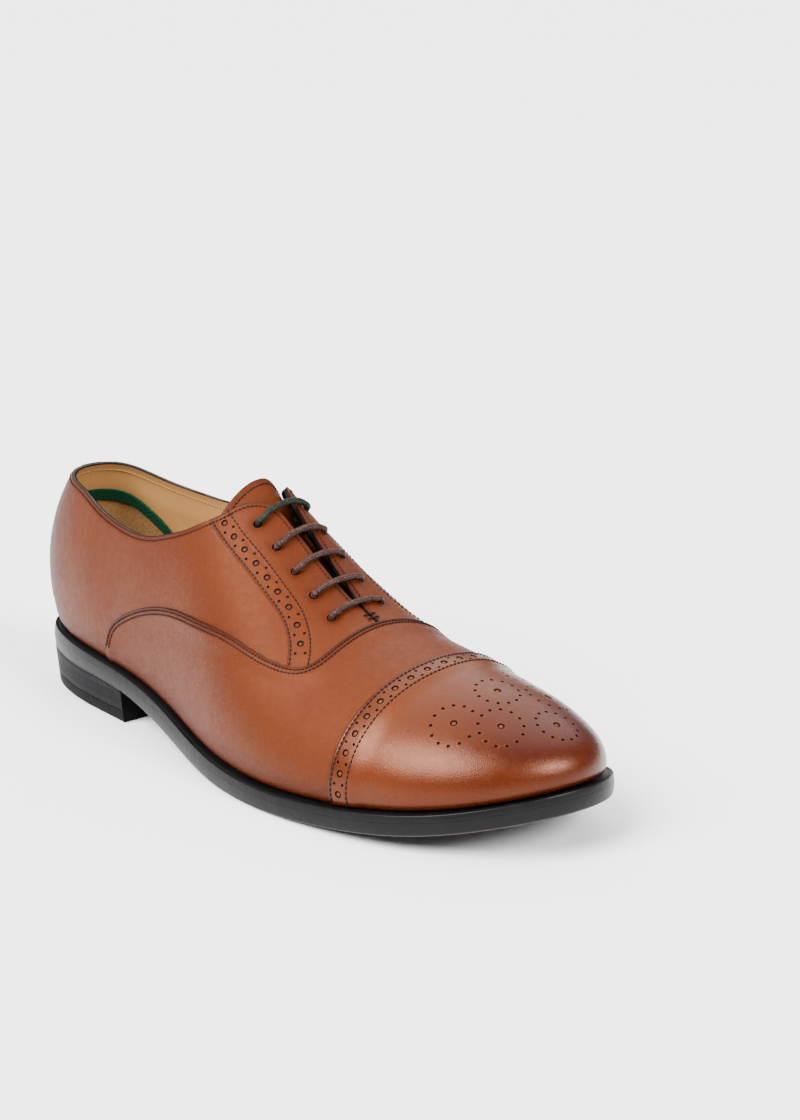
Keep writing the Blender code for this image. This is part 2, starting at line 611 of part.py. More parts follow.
def vamp_lining():
    """The forefoot lining, from the quarter linings' front edges to the toe."""
    wraps = np.linspace(-FOOT_WRAP, FOOT_WRAP, 27)
    rear_x = 191.2 - (191.2 - 151.5) * np.abs(wraps) / FOOT_WRAP
    rear = np.arccos(1 - 2 * rear_x / SOLE_LENGTH)
    angles = rear + (math.pi - rear) * column(np.linspace(0, 1, 13))
    shell("vamp_lining", angles, np.broadcast_to(wraps, angles.shape), *LINING, LINING_TAN, folded=True)


def toe_puff():
    wraps = np.linspace(-0.93, 0.93, 21)
    angles = station(238) + (math.pi - station(238)) * column(np.linspace(0, 1, 8))
    angles = np.broadcast_to(angles, (8, 21))
    shell("toe_puff", angles, np.broadcast_to(wraps, angles.shape), *STIFFENER, FELT, folded=True)


def heel_band(name, top, bottom, reach_x, level, look, columns=23, rows=6):
    """A piece that wraps the heel from one side to the other between two wraps, functions of x."""
    along = np.linspace(-station(reach_x), station(reach_x), columns)
    x = SOLE_LENGTH / 2 * (1 - np.cos(along))
    share = column(np.linspace(0, 1, rows))
    depth = top(x) + (bottom(x) - top(x)) * share
    angles = np.broadcast_to(np.abs(along), depth.shape)
    shell(name, angles, depth * np.where(along < 0, OUTER, INNER), *level, look)


def heel_counter():
    top = Spline([(0, 0.47), (20, 0.50), (50, 0.62), (74, 0.80)])
    heel_band("heel_counter", top, lambda x: 0.97 + 0 * x, 74, STIFFENER, FELT)


def heel_grip():
    """The suede patch inside the heel, and the woven tape along its edge."""
    edge = Spline(GRIP_EDGE)
    heel_band("heel_grip", lambda x: edge(x) + 0.012, lambda x: 0.955 + 0 * x, 56, GRIP, SUEDE, columns=25)
    heel_band("heel_grip_tape", lambda x: edge(x) - 0.012, lambda x: edge(x) + 0.034, 54,
              GRIP_BAND, GREEN_TAPE, columns=27, rows=3)


def heel_tab():
    """The small pull that covers the top of the back seam."""
    heel_band("heel_tab", lambda x: 0.338 + 0 * x, lambda x: 0.475 + 0 * x, 0.75,
              (LEATHER[0] + RAISED, LEATHER[1] + RAISED), LEATHER_TAN, columns=5, rows=4)


def tongue(name, sink, thick, look):
    """A layer of the tongue, sunk under the laces and rising at its free end, its base and its shoulders."""
    t, s = np.meshgrid(np.linspace(0, 1, 15) ** 1.4, np.linspace(-1, 1, 15), indexing="ij")
    x = TONGUE_TOP_X + (TONGUE_BASE_X - TONGUE_TOP_X) * t - TONGUE_WING * np.abs(s) ** 1.6 * (1 - t) ** 3
    half = Spline(TONGUE_HALF)(t)
    wraps = s * half / girth_at(x)
    angles = np.arccos(1 - 2 * x / SOLE_LENGTH)
    drop = TONGUE_WING_DROP * s**2 * np.interp(t, *zip(*TONGUE_FREE))
    across = np.interp(np.abs(s), *zip(*TONGUE_SHOULDER_ACROSS))
    shoulder = across * np.interp(t, *zip(*TONGUE_SHOULDER_ALONG))
    level = np.interp(t, *zip(*TONGUE_SINK)) - drop
    level = level * (1 - shoulder) + TONGUE_SHOULDER * shoulder - sink
    shell(name, angles, wraps, level - thick, level, look)


def eyelet_frame(x, wrap):
    """The centre, and unit vectors along the shoe, across it and out of it, at an eyelet."""
    angle = station(x)
    centre = last_point(angle, wrap)
    out = last_normal(angle, wrap)
    across = last_point(angle, wrap + 1e-3) - centre
    across /= np.linalg.norm(across)
    return centre, np.cross(across, out), across, out


def eyelet_ring(name, x, wrap):
    """A flat ring that reinforces one lace hole, hidden between the leather and the lining."""
    angle = station(x)
    per_angle = np.linalg.norm(last_point(angle + 1e-3, wrap) - last_point(angle, wrap)) / 1e-3
    per_wrap = np.linalg.norm(last_point(angle, wrap + 1e-3) - last_point(angle, wrap)) / 1e-3
    turns = np.linspace(0, 2 * math.pi, 9)
    radii = column(RING_RADII)
    angles = angle + radii * np.cos(turns) / per_angle
    wraps = wrap + radii * np.sin(turns) / per_wrap
    rows, columns = angles.shape
    base, normal = last_point(angles, wraps), last_normal(angles, wraps)
    points = np.concatenate([(base + normal * level).reshape(-1, 3) for level in EYELET_RING])
    count = rows * columns
    faces = grid_faces(rows, columns) + grid_faces(rows, columns, count, flip=True)
    for i in (0, rows - 1):
        for j in range(columns - 1):
            a = i * columns + j
            faces.append((a, a + 1, a + 1 + count, a + count))
    add_mesh(name, points, faces, BRASS)


def eyelet_cutter(side):
    body = bmesh.new()
    for x, wrap in EYELETS[side]:
        centre, along, across, out = eyelet_frame(x, wrap * side)
        turn = Matrix((along, across, out)).transposed().to_4x4()
        if turn.determinant() < 0:
            turn = Matrix((across, along, out)).transposed().to_4x4()
        place = Matrix.Translation(Vector(centre - out * 1.2) * MM) @ turn
        bmesh.ops.create_cone(body, cap_ends=True, segments=12, radius1=HOLE_RADIUS * MM,
                              radius2=HOLE_RADIUS * MM, depth=9 * MM, matrix=place)
    mesh = bpy.data.meshes.new("eyelet_cutter")
    body.to_mesh(mesh)
    body.free()
    cutter = bpy.data.objects.new("eyelet_cutter", mesh)
    bpy.context.scene.collection.objects.link(cutter)
    cutter.hide_render = True
    cutter.display_type = "WIRE"
    return cutter


def bend(x, wrap, towards, out_level, steps=3):
    """Points of the lace turning from the surface's normal to a direction along the surface."""
    centre, along, across, out = eyelet_frame(x, wrap)
    flat = towards - out * towards.dot(out)
    flat /= np.linalg.norm(flat)
    up = 1.0 if out_level > 0 else -1.0
    start = out_level - up * BEND_RADIUS
    points = []
    for k in range(steps + 1):
        turn = math.pi / 2 * k / steps
        points.append(centre + out * (start + up * BEND_RADIUS * math.sin(turn))
                      + flat * BEND_RADIUS * (1 - math.cos(turn)))
    return points


def lace_bar(index, from_side):
    """One bar: up through an eyelet, across over the gap and down through its partner."""
    x, wrap = EYELETS[from_side][index]
    last_x, last_wrap = EYELETS[-from_side][index]
    first, last = wrap * from_side, -last_wrap * from_side
    start, end = last_point(station(x), first), last_point(station(last_x), last)
    over = []
    for share in (0.28, 0.5, 0.72):
        where = first + (last - first) * share
        angle = station(x + (last_x - x) * share)
        rise = LACE_OVER + 0.25 * math.sin(share * math.pi)
        over.append(last_point(angle, where) + last_normal(angle, where) * rise)
    up = bend(x, first, end - start, LACE_OVER)
    down = bend(last_x, last, start - end, LACE_OVER)
    return up + over + down[::-1]


def lace_run(index, to_index, side):
    """The hidden stretch under the lining between two eyelets of one side."""
    x, wrap = EYELETS[side][index]
    to_x, to_wrap = EYELETS[side][to_index]
    start = last_point(station(x), wrap * side)
    end = last_point(station(to_x), to_wrap * side)
    middle_x, middle_wrap = (x + to_x) / 2, (wrap + to_wrap) / 2 * side
    place = station(middle_x), middle_wrap
    middle = last_point(*place) + last_normal(*place) * LACE_UNDER
    away = bend(x, wrap * side, end - start, LACE_UNDER)
    back = bend(to_x, to_wrap * side, start - end, LACE_UNDER)
    return away + [middle] + back[::-1]


def lace_tail(index, side):
    """A hidden end: down through an eyelet and out sideways under the lining."""
    x, wrap = EYELETS[side][index]
    angle = station(x)
    first = last_point(angle, wrap * side)
    away = last_point(angle, (wrap + 0.05) * side) - first
    points = bend(x, wrap * side, away, LACE_UNDER)
    for extra in (0.05, 0.09):
        where = (wrap + extra) * side
        points.append(last_point(angle, where) + last_normal(angle, where) * LACE_UNDER)
    return points


def lace(name, route, look):
    """A round lace along a route, in even steps."""
    route = np.array(route)
    runs = np.linalg.norm(np.diff(route, axis=0), axis=1)
    keep = np.concatenate([[True], runs > 0.05])
    route = route[keep]
    curve = bpy.data.curves.new(name, "CURVE")
    curve.dimensions = "3D"
    curve.bevel_depth = LACE_RADIUS * MM
    curve.bevel_resolution = 2
    curve.use_fill_caps = True
    line = curve.splines.new("POLY")
    line.points.add(len(route) - 1)
    for point, place in zip(line.points, route):
        point.co = (*(place * MM), 1)
    curve.materials.append(material_named(name, look))
    piece = bpy.data.objects.new(name, curve)
    bpy.context.scene.collection.objects.link(piece)


def laces():
    """One brown lace zigzags through the lower four pairs; a green one crosses the top pair."""
    brown = lace_tail(4, OUTER)[::-1]
    side = OUTER
    for index in (4, 3, 2, 1):
        brown += lace_bar(index, side)
        side = -side
        if index > 1:
            brown += lace_run(index, index - 1, side)
    brown += lace_tail(1, side)
    lace("lace_brown", brown, LACE_BROWN)
    lace("lace_green", lace_tail(0, OUTER)[::-1] + lace_bar(0, OUTER) + lace_tail(0, INNER), LACE_GREEN)


def bar_tack():
    """The thread bar that locks the foot of the lacing slit."""
    xs = column([186.6, 188.0])
    wraps = np.linspace(-3.4, 3.4, 5) / girth_at(187)
    angles = np.broadcast_to(np.arccos(1 - 2 * xs / SOLE_LENGTH), (2, 5))
    shell("bar_tack", angles, np.broadcast_to(wraps, (2, 5)), 0.4, 1.1, THREAD)


def centre_on_floor():
    """Moves every piece by one step, so that the shoe's box stands centred on the origin."""
    points = [vertex.co for thing in bpy.data.objects if thing.type == "MESH" and not thing.hide_render
              for vertex in thing.data.vertices]
    low = [min(point[k] for point in points) for k in range(3)]
    high = [max(point[k] for point in points) for k in range(3)]
    shift = Vector((-(low[0] + high[0]) / 2, -(low[1] + high[1]) / 2, -low[2]))
    for thing in bpy.data.objects:
        thing.data.transform(Matrix.Translation(shift))
    return shift


def hinge_tongue(shift):
    """Puts the tongue's two layers on an empty at the foot of the tongue, on the axis they turn about."""
    x = TONGUE_BASE_X
    top = float(ridge_z(x))
    pivot = bpy.data.objects.new("tongue_pivot", None)
    pivot.location = Vector((x, float(ridge_y(x)), top - 6.8)) * MM + shift
    bpy.context.scene.collection.objects.link(pivot)
    for name in ("tongue", "tongue_lining"):
        piece = bpy.data.objects[name]
        piece.data.transform(Matrix.Translation(-pivot.location))
        piece.parent = pivot


def main():
    clear_scene()
    outsole()
    welt()
    fillings()
    heel()
    toe_cap()
    vamp()
    for word, side in (("outer", OUTER), ("inner", INNER)):
        quarter(f"quarter_{word}", side)
        panel = facing(f"facing_{word}", side)
        inside = quarter_lining(f"quarter_lining_{word}", side)
        cutter = eyelet_cutter(side)
        cut(panel, cutter)
        cut(inside, cutter)
        for number, (x, wrap) in enumerate(EYELETS[side], 1):
            eyelet_ring(f"eyelet_{word}_{number}", x, wrap * side)
    vamp_lining()
    toe_puff()
    heel_counter()
    heel_grip()
    heel_tab()
    tongue("tongue", 0.0, TONGUE_THICK, LEATHER_TAN)
    tongue("tongue_lining", TONGUE_THICK + 0.35, TONGUE_LINING_THICK, LINING_TAN)
    laces()
    bar_tack()
    hinge_tongue(centre_on_floor())


main()
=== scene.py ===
"""The look of a leather oxford shoe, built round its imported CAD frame.

Lengths are millimetres until a mesh is made. X runs from the heel to the toe, +Y is the inner side of the
foot and +Z is up. The upper's pieces lie on one surface, the outside of the leather. A place on it is a
station, the angle along the sole's outline (0 at the heel back, pi at the toe tip), and a wrap, from -1 at
the outer feather line over 0 at the ridge to +1 at the inner feather line.
"""

import math

import bmesh
import bpy
import numpy as np
from mathutils import Matrix, Vector, noise


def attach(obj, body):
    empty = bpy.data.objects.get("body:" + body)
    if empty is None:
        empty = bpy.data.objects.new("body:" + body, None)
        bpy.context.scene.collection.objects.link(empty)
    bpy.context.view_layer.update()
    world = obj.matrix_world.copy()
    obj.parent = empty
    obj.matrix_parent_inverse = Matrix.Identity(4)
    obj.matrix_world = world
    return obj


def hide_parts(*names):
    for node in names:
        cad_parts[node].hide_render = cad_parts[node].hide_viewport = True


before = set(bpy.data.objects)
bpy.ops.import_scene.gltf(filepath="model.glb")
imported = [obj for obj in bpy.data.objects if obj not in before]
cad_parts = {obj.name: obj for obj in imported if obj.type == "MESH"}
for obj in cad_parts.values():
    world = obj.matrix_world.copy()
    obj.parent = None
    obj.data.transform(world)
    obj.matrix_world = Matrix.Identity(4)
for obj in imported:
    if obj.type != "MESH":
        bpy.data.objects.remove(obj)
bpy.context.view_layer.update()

MM = 0.001
ORIGIN = np.array([-148.3493, 2.3456, 0.0])
OUTER, INNER = -1, 1
SIDE_NAMES = ((OUTER, "outer"), (INNER, "inner"))

# The sole's outline and the surface's ribs, as in the CAD model.
SOLE_LENGTH = 298.4
OUTER_EDGE = [(0, 0), (4, -14.5), (18, -25.3), (45, -32.3), (80, -35.6), (112, -40.6), (150, -49.8),
              (188, -54.0), (222, -51.0), (252, -44.0), (276, -31.0), (291, -14.5)]
INNER_EDGE = [(298.4, 8.5), (292.5, 26.5), (277, 38.8), (250, 46.4), (215, 49.3), (180, 45.2),
              (146, 35.2), (110, 29.3), (78, 30.3), (45, 31.8), (18, 25.3), (4, 14.5)]
BREAST_X = 76.0
HEEL_HEIGHT = 17.0
WELT_BOTTOM = 0.64
UNDERSIDE = [(0, 17.6), (40, 15.8), (76, 13.9), (100, 9.6), (125, 4.6), (150, 1.1), (173, 0.0),
             (200, 0.7), (230, 3.2), (262, 8.3), (298, 17.2)]
FEATHER = [(0, 27.0), (30, 25.6), (60, 23.8), (90, 20.6), (120, 14.9), (150, 10.2), (180, 8.8),
           (210, 9.8), (240, 13.0), (270, 18.6), (298, 26.2)]
LEDGE = [(0, 2.5), (60, 2.6), (120, 3.0), (180, 3.4), (240, 3.4), (298, 3.2)]
RIDGE_X = [(0, 38), (20, 42), (50, 58), (80, 82), (110, 110), (150, 150), (200, 200), (240, 236.5),
           (270, 259), (290, 269.5), (298.4, 272)]
RIDGE_Y = [(38, 0), (80, 0.8), (130, 2.0), (180, 2.6), (230, 4.6), (272, 8.2)]
RIDGE_Z = [(38, 117), (60, 124), (85, 126), (105, 121), (120, 112.5), (137, 100), (150, 89.5),
           (165, 77.9), (180, 67.8), (195, 61.2), (210, 58.0), (229, 55.4), (245, 53.0), (260, 50.0),
           (272, 46.2)]
RIB_X = (0, 60, 120, 180, 240, SOLE_LENGTH)
LEAN = {OUTER: (0.33, 0.15, 0.10, 0.22, 0.22, 0.15), INNER: (0.33, 0.10, 0.00, 0.20, 0.26, 0.15)}
LOWER_HANDLE = {OUTER: (0.56, 0.50, 0.47, 0.50, 0.55, 0.60), INNER: (0.56, 0.50, 0.56, 0.66, 0.62, 0.60)}
UPPER_HANDLE = {OUTER: (0.46, 0.47, 0.56, 0.55, 0.52, 0.55), INNER: (0.46, 0.47, 0.64, 0.70, 0.58, 0.55)}

# Seams as (x, wrap) on one side.
TOPLINE = {
    OUTER: [(0, 0.345), (10, 0.350), (22, 0.362), (36, 0.390), (51, 0.442), (65, 0.476), (78, 0.488),
            (90, 0.470), (100, 0.430), (111, 0.365), (120, 0.285)],
    INNER: [(0, 0.345), (10, 0.360), (20, 0.385), (32, 0.415), (45, 0.435), (60, 0.442), (74, 0.436),
            (88, 0.412), (100, 0.375), (111, 0.330), (120, 0.285)],
}
TOPLINE_END = {OUTER: [(116, 0.322), (118.5, 0.299)], INNER: [(116, 0.309), (118.5, 0.296)]}
FACING_TOP = {
    OUTER: [(120, 0.285), (125, 0.225), (129.5, 0.145), (133.0, 0.095), (136.5, 0.062), (142, 0.042)],
    INNER: [(120, 0.285), (123, 0.225), (126, 0.150), (128.0, 0.100), (130.5, 0.068), (136, 0.048)],
}
GAP_EDGE = [(150, 0.034), (165, 0.026), (178, 0.012), (184, 0.0035), (192, 0.0035)]
STRIP_EDGE = [(120, 0.285), (133, 0.298), (146, 0.300), (158, 0.310), (167.5, 0.327), (174.5, 0.370),
              (181, 0.460), (182.5, 0.495)]
VAMP_EDGE = [(63.2, 0.95), (67, 0.87), (76, 0.795), (89, 0.73), (104, 0.67), (119, 0.62), (136, 0.57),
             (153, 0.52), (167, 0.50), (176, 0.485), (181, 0.472), (186.5, 0.445), (190, 0.39),
             (191.2, 0.30), (191.2, 0.15), (191.0, 0.0)]
CAP_EDGE = [(221.5, 1.0), (221.0, 0.75), (221.5, 0.5), (223.5, 0.25), (225.5, 0.0)]
VAMP_CORNER = 0.62
UNDER_CAP = 5.5
FACING_LENGTH = 75
LINING_CORNER = (0.6, 0.006)
EYELETS = {
    OUTER: [(138.5, 0.150), (149.0, 0.147), (159.5, 0.149), (170.0, 0.155), (180.5, 0.166)],
    INNER: [(137.5, 0.120), (148.0, 0.117), (158.5, 0.119), (169.0, 0.125), (180.0, 0.137)],
}
GRIP_EDGE = [(0, 0.475), (13, 0.512), (20, 0.555), (27, 0.603), (36, 0.68), (46, 0.785), (58, 0.925)]

# Leather: its thickness, how high an overlapping edge stands, how round an edge is.
LEATHER_THICK, LINING_THICK = 1.1, 0.85
LAP_RISE, STRIP_RISE = 0.9, 0.2
EDGE_ROUND = 0.38
LINING_DEPTH = 2.75
FOOT_WRAP = 0.998

STITCH_LENGTH, STITCH_GAP, STITCH_RADIUS = 1.4, 0.5, 0.28
BIG_HOLE, SMALL_HOLE = 1.5, 0.64
HOLE_DEPTH = 0.6
BROGUE_STEP = 7.8
BROGUE_CENTRE = 4.7
PAIR_SPREAD = 1.9
LACE_HOLE = 1.8
NAIL_HOLE, NAIL_HOLE_DEPTH, NAIL_HOLE_MIDDLE = 2.15, 18.2, 3.3
CREASE = 0.95

LACE_RADIUS = 1.28
LACE_STEP = 0.34
BEND_RADIUS = 1.7
LACE_OVER, LACE_UNDER = 1.5, -5.7

# The tongue, by shares of its length from the tip and of its half width from the middle.
TONGUE_TOP_X, TONGUE_BASE_X = 124.5, 190.5
TONGUE_HALF = [(0, 36.0), (0.1, 36.5), (0.25, 32.0), (0.5, 22.0), (1, 13.0)]
TONGUE_WING, TONGUE_WING_DROP = 5.5, 2.2
TONGUE_TUCK = 2.5
TONGUE_SHOULDER = -4.4
TONGUE_TUCK_ACROSS, TONGUE_SHOULDER_ACROSS = (0.8, 1), (0.1, 0.5)
TONGUE_TIP_END, TONGUE_SHOULDER_END = (0.05, 0.11), (0.12, 0.18)
TONGUE_SINK = [(0, -3.0), (0.06, -4.4), (0.11, -5.4), (0.16, -7.6), (0.2, -8.0), (0.88, -8.0), (1, -5.4)]

# The camera: where it looks from, what it looks at, and how the picture is framed.
CAMERA_AZIMUTH, CAMERA_ELEVATION, CAMERA_ROLL = 45.206, 13.803, 0.936
CAMERA_TARGET = (175.149, 63.222, 105.449)
CAMERA_DISTANCE = 930.348
CAMERA_LENS = 74.67
CAMERA_SHIFT = (-0.0565, -0.0703)


class Spline:
    """A cubic curve with continuous curvature through points, open or closed with a period."""

    def __init__(self, points, period=None):
        xs, ys = np.array(points, float).T
        if period:
            xs = np.concatenate([xs[-4:] - period, xs, xs[:4] + period])
            ys = np.concatenate([ys[-4:], ys, ys[:4]])
        step, slope = np.diff(xs), np.diff(ys) / np.diff(xs)
        system, right = np.eye(len(xs)), np.zeros(len(xs))
        for i in range(1, len(xs) - 1):
            system[i, i - 1 : i + 2] = step[i - 1], 2 * (step[i - 1] + step[i]), step[i]
            right[i] = 6 * (slope[i] - slope[i - 1])
        self.xs, self.ys, self.period = xs, ys, period
        self.curve = np.linalg.solve(system, right)

    def __call__(self, x):
        x = np.asarray(x, float)
        if self.period:
            x = np.mod(x, self.period)
        i = np.clip(np.searchsorted(self.xs, x) - 1, 0, len(self.xs) - 2)
        step = self.xs[i + 1] - self.xs[i]
        a, b = (self.xs[i + 1] - x) / step, (x - self.xs[i]) / step
        bend = (a**3 - a) * self.curve[i] + (b**3 - b) * self.curve[i + 1]
        return a * self.ys[i] + b * self.ys[i + 1] + bend * step * step / 6


def unit(vectors):
    return vectors / np.linalg.norm(vectors, axis=-1, keepdims=True)


def reach_along(points):
    """How far along a row of points each of them is."""
    return np.concatenate([[0], np.linalg.norm(np.diff(points, axis=0), axis=1).cumsum()])


def station(x):
    """The station angle of the outline point at x."""
    return np.arccos(np.clip(1 - 2 * np.asarray(x, float) / SOLE_LENGTH, -1, 1))


def station_x(angle):
    return SOLE_LENGTH / 2 * (1 - np.cos(angle))


outline_y = Spline([(float(station(x)), y) for x, y in OUTER_EDGE]
                   + [(2 * math.pi - float(station(x)), y) for x, y in INNER_EDGE], period=2 * math.pi)
underside, feather, ledge = Spline(UNDERSIDE), Spline(FEATHER), Spline(LEDGE)
ridge_x, ridge_y, ridge_z = Spline(RIDGE_X), Spline(RIDGE_Y), Spline(RIDGE_Z)
lean = {side: Spline(list(zip(RIB_X, LEAN[side]))) for side in (OUTER, INNER)}
lower_handle = {side: Spline(list(zip(RIB_X, LOWER_HANDLE[side]))) for side in (OUTER, INNER)}
upper_handle = {side: Spline(list(zip(RIB_X, UPPER_HANDLE[side]))) for side in (OUTER, INNER)}


def outline(angle, inset=0.0):
    """Points of the sole's outline and its outward normals; the angle runs on past pi up the inner side."""
    angle = np.asarray(angle, float)

    def raw(a):
        return np.stack([station_x(a), outline_y(a)], -1)

    along = unit(raw(angle + 1e-4) - raw(angle - 1e-4))
    out = np.stack([along[..., 1], -along[..., 0]], -1)
    return raw(angle) - out * np.asarray(inset)[..., None], out


def rib_controls(angle, side):
    """The four control points of the rib that starts at each station on a side."""
    x = station_x(angle)
    foot_xy, out = outline(np.where(side < 0, angle, 2 * math.pi - angle), ledge(x))
    foot = np.concatenate([foot_xy, feather(foot_xy[..., :1])], -1)
    top_x = ridge_x(x)
    top = np.stack([top_x, ridge_y(top_x), ridge_z(top_x)], -1)
    slope = (ridge_z(top_x + 0.1) - ridge_z(top_x - 0.1)) / 0.2
    reach = foot_xy - top[..., :2]
    width = np.linalg.norm(reach, axis=-1, keepdims=True)
    reach = reach / width

    def of_side(splines):
        return np.where(side < 0, splines[OUTER](x), splines[INNER](x))[..., None]

    rise = of_side(lower_handle) * (top[..., 2:] - foot[..., 2:])
    low = foot + rise * np.concatenate([out * of_side(lean), np.ones_like(width)], -1)
    spread = of_side(upper_handle) * width
    high = top + spread * np.concatenate([reach, slope[..., None] * reach[..., :1]], -1)
    return foot, low, high, top


def bernstein(t):
    return (1 - t) ** 3, 3 * t * (1 - t) ** 2, 3 * t * t * (1 - t), t**3


def last_point(angle, wrap):
    """The surface point at a station and a wrap; stations past either end fold onto the other side."""
    angle, wrap = np.broadcast_arrays(np.asarray(angle, float), np.asarray(wrap, float))
    folded = (angle < 0) | (angle > math.pi)
    wrap = np.where(folded, -wrap, wrap)
    angle = np.where(angle < 0, -angle, np.where(angle > math.pi, 2 * math.pi - angle, angle))
    controls = rib_controls(angle, np.where(wrap < 0, OUTER, INNER))
    ts = np.linspace(0, 1, 33)
    trace = sum(c[..., None, :] * b[:, None] for c, b in zip(controls, bernstein(ts)))
    runs = np.linalg.norm(np.diff(trace, axis=-2), axis=-1).cumsum(-1)
    share = np.concatenate([np.zeros(runs.shape[:-1] + (1,)), runs], -1) / runs[..., -1:]
    target = (1 - np.abs(wrap))[..., None]
    k = np.clip((share < target).sum(-1, keepdims=True) - 1, 0, len(ts) - 2)
    low, high = np.take_along_axis(share, k, -1), np.take_along_axis(share, k + 1, -1)
    t = ts[k] + (target - low) / (high - low) * (ts[1] - ts[0])
    return sum(c * b for c, b in zip(controls, bernstein(t)))


def last_slopes(angle, wrap):
    """How the surface point moves with the station and the wrap, held off the fold by the ridge's ends."""
    angle, wrap = np.broadcast_arrays(np.asarray(angle, float), np.asarray(wrap, float))
    angle = np.where(np.abs(wrap) < 0.05, np.clip(angle, 0.05, math.pi - 0.05), angle)
    along = (last_point(angle + 1e-3, wrap) - last_point(angle - 1e-3, wrap)) / 2e-3
    across = (last_point(angle, wrap + 1e-3) - last_point(angle, wrap - 1e-3)) / 2e-3
    return along, across


def last_normal(angle, wrap):
    return unit(np.cross(*last_slopes(angle, wrap)))


def rib_length(x):
    wraps = np.linspace(1e-6, 1, 60)
    trace = last_point(np.full(60, float(station(x))), -wraps)
    return float(np.linalg.norm(np.diff(trace, axis=0), axis=1).sum())


girth = Spline([(x, rib_length(x)) for x in range(0, 300, 20)])


# ---- seams: lines of (station, wrap) places ----

def seam(points, side=OUTER):
    """A smooth line through (x, wrap) points, as a function of 0..1 giving (station, signed wrap)."""
    places = np.array([(float(station(x)), wrap * side) for x, wrap in points])
    scale = np.array([SOLE_LENGTH / 2, 90.0])
    runs = np.linalg.norm(np.diff(places * scale, axis=0), axis=1)
    share = np.concatenate([[0], runs.cumsum()]) / runs.sum()
    lines = [Spline(list(zip(share, places[:, k]))) for k in (0, 1)]
    return lambda t: np.stack([line(t) for line in lines], -1)


def moved_seam(points, distance):
    """Points of a seam moved sideways: positive distances go towards the toe and the feather."""
    places = np.array(points, float)
    spread = places * (1, 90.0)
    along = unit(np.gradient(spread, axis=0))
    side = np.stack([-along[:, 1], along[:, 0]], -1)
    return [tuple(p) for p in (spread + side * distance) / (1, 90.0)]


def both_sides(line):
    """A line over both sides, from one for the outer side that runs from 0 at its foot to 1 on the ridge."""

    def whole(t):
        t = np.asarray(t, float)
        place = line(1 - np.abs(2 * t - 1))
        return np.stack([place[..., 0], place[..., 1] * np.where(t > 0.5, -1, 1)], -1)

    return whole


class Track:
    """A line on the surface measured in millimetres, for stitches and holes."""

    def __init__(self, places):
        self.places = np.asarray(places, float)
        self.reach = reach_along(last_point(*self.places.T))
        self.length = float(self.reach[-1])

    def at(self, distance, aside=0.0):
        """Places at distances along the line and to its left as the surface is seen from outside."""
        distance = np.asarray(distance, float)

        def angle_and_wrap(reach):
            return [np.interp(reach, self.reach, self.places[:, k]) for k in (0, 1)]

        place = np.stack(angle_and_wrap(distance), -1)
        if np.ndim(aside) == 0 and aside == 0:
            return place
        tangent = last_point(*angle_and_wrap(distance + 0.5)) - last_point(*angle_and_wrap(distance - 0.5))
        along, across = last_slopes(place[..., 0], place[..., 1])
        left = unit(np.cross(np.cross(along, across), tangent))
        return place + steps_for(left * np.asarray(aside)[..., None], along, across)

    def beside(self, aside, first=0.0, last=0.0):
        """The line moved sideways, and cut short at its ends."""
        distances = np.linspace(first, self.length - last, max(8, int(self.length / 2)))
        return Track(self.at(distances, aside))


def steps_for(move, along, across):
    """The change of station and wrap that moves a place by a vector in the surface."""
    aa, ab, bb = (along * along).sum(-1), (along * across).sum(-1), (across * across).sum(-1)
    ma, mb = (move * along).sum(-1), (move * across).sum(-1)
    det = aa * bb - ab * ab
    return np.stack([(ma * bb - mb * ab) / det, (mb * aa - ma * ab) / det], -1)


def track(line, count=160, start=0.0, end=1.0):
    return Track(line(np.linspace(start, end, count)))


def beyond(line, points):
    """How far points lie to the left of a track, as the surface is seen from outside."""
    knots = last_point(*line.places.T)
    along, across = last_slopes(*line.places.T)
    left = unit(np.cross(np.cross(along, across), np.gradient(knots, axis=0)))
    away = points.reshape(-1, 1, 3) - knots
    nearest = (away**2).sum(-1).argmin(-1)
    away = away[np.arange(len(nearest)), nearest]
    return (away * left[nearest]).sum(-1).reshape(points.shape[:-1])


def place_at(x, y):
    """The place on the surface over a point of the ground plan, near the toe."""
    angles, wraps = np.meshgrid(np.linspace(2.0, 3.1, 60), np.linspace(-0.85, 0.85, 90), indexing="ij")
    points = last_point(angles, wraps)
    nearest = np.unravel_index(np.argmin((points[..., 0] - x) ** 2 + (points[..., 1] - y) ** 2), angles.shape)
    place = np.array([angles[nearest], wraps[nearest]])
    for _ in range(4):
        along, across = last_slopes(*place)
        move = np.array([x, y]) - last_point(*place)[:2]
        place = place + np.linalg.solve(np.stack([along[:2], across[:2]], -1), move)
    return place


# ---- meshes ----

def ramp(distance, start, end):
    """1 up to start, falling smoothly to 0 at end."""
    t = np.clip((np.asarray(distance) - start) / (end - start), 0, 1)
    return 1 - t * t * (3 - 2 * t)


def rounded(distance, radius=EDGE_ROUND):
    """How far a face drops near an edge that is rounded off."""
    t = np.clip(1 - np.asarray(distance) / radius, 0, 1)
    return radius * (1 - np.sqrt(1 - t * t))


def grooves(distance, rows, width=0.4):
    """How far the leather sinks along rows of stitches: 1 on a row, 0 well beside it."""
    return sum(np.exp(-(((distance - row) / width) ** 2)) for row in rows)


def placed(name, data):
    """A new object in the scene."""
    thing = bpy.data.objects.new(name, data)
    bpy.context.scene.collection.objects.link(thing)
    return thing


def object_of(name, body):
    """A new object in the scene whose mesh is taken from a bmesh."""
    mesh = bpy.data.meshes.new(name)
    body.to_mesh(mesh)
    body.free()
    return placed(name, mesh)


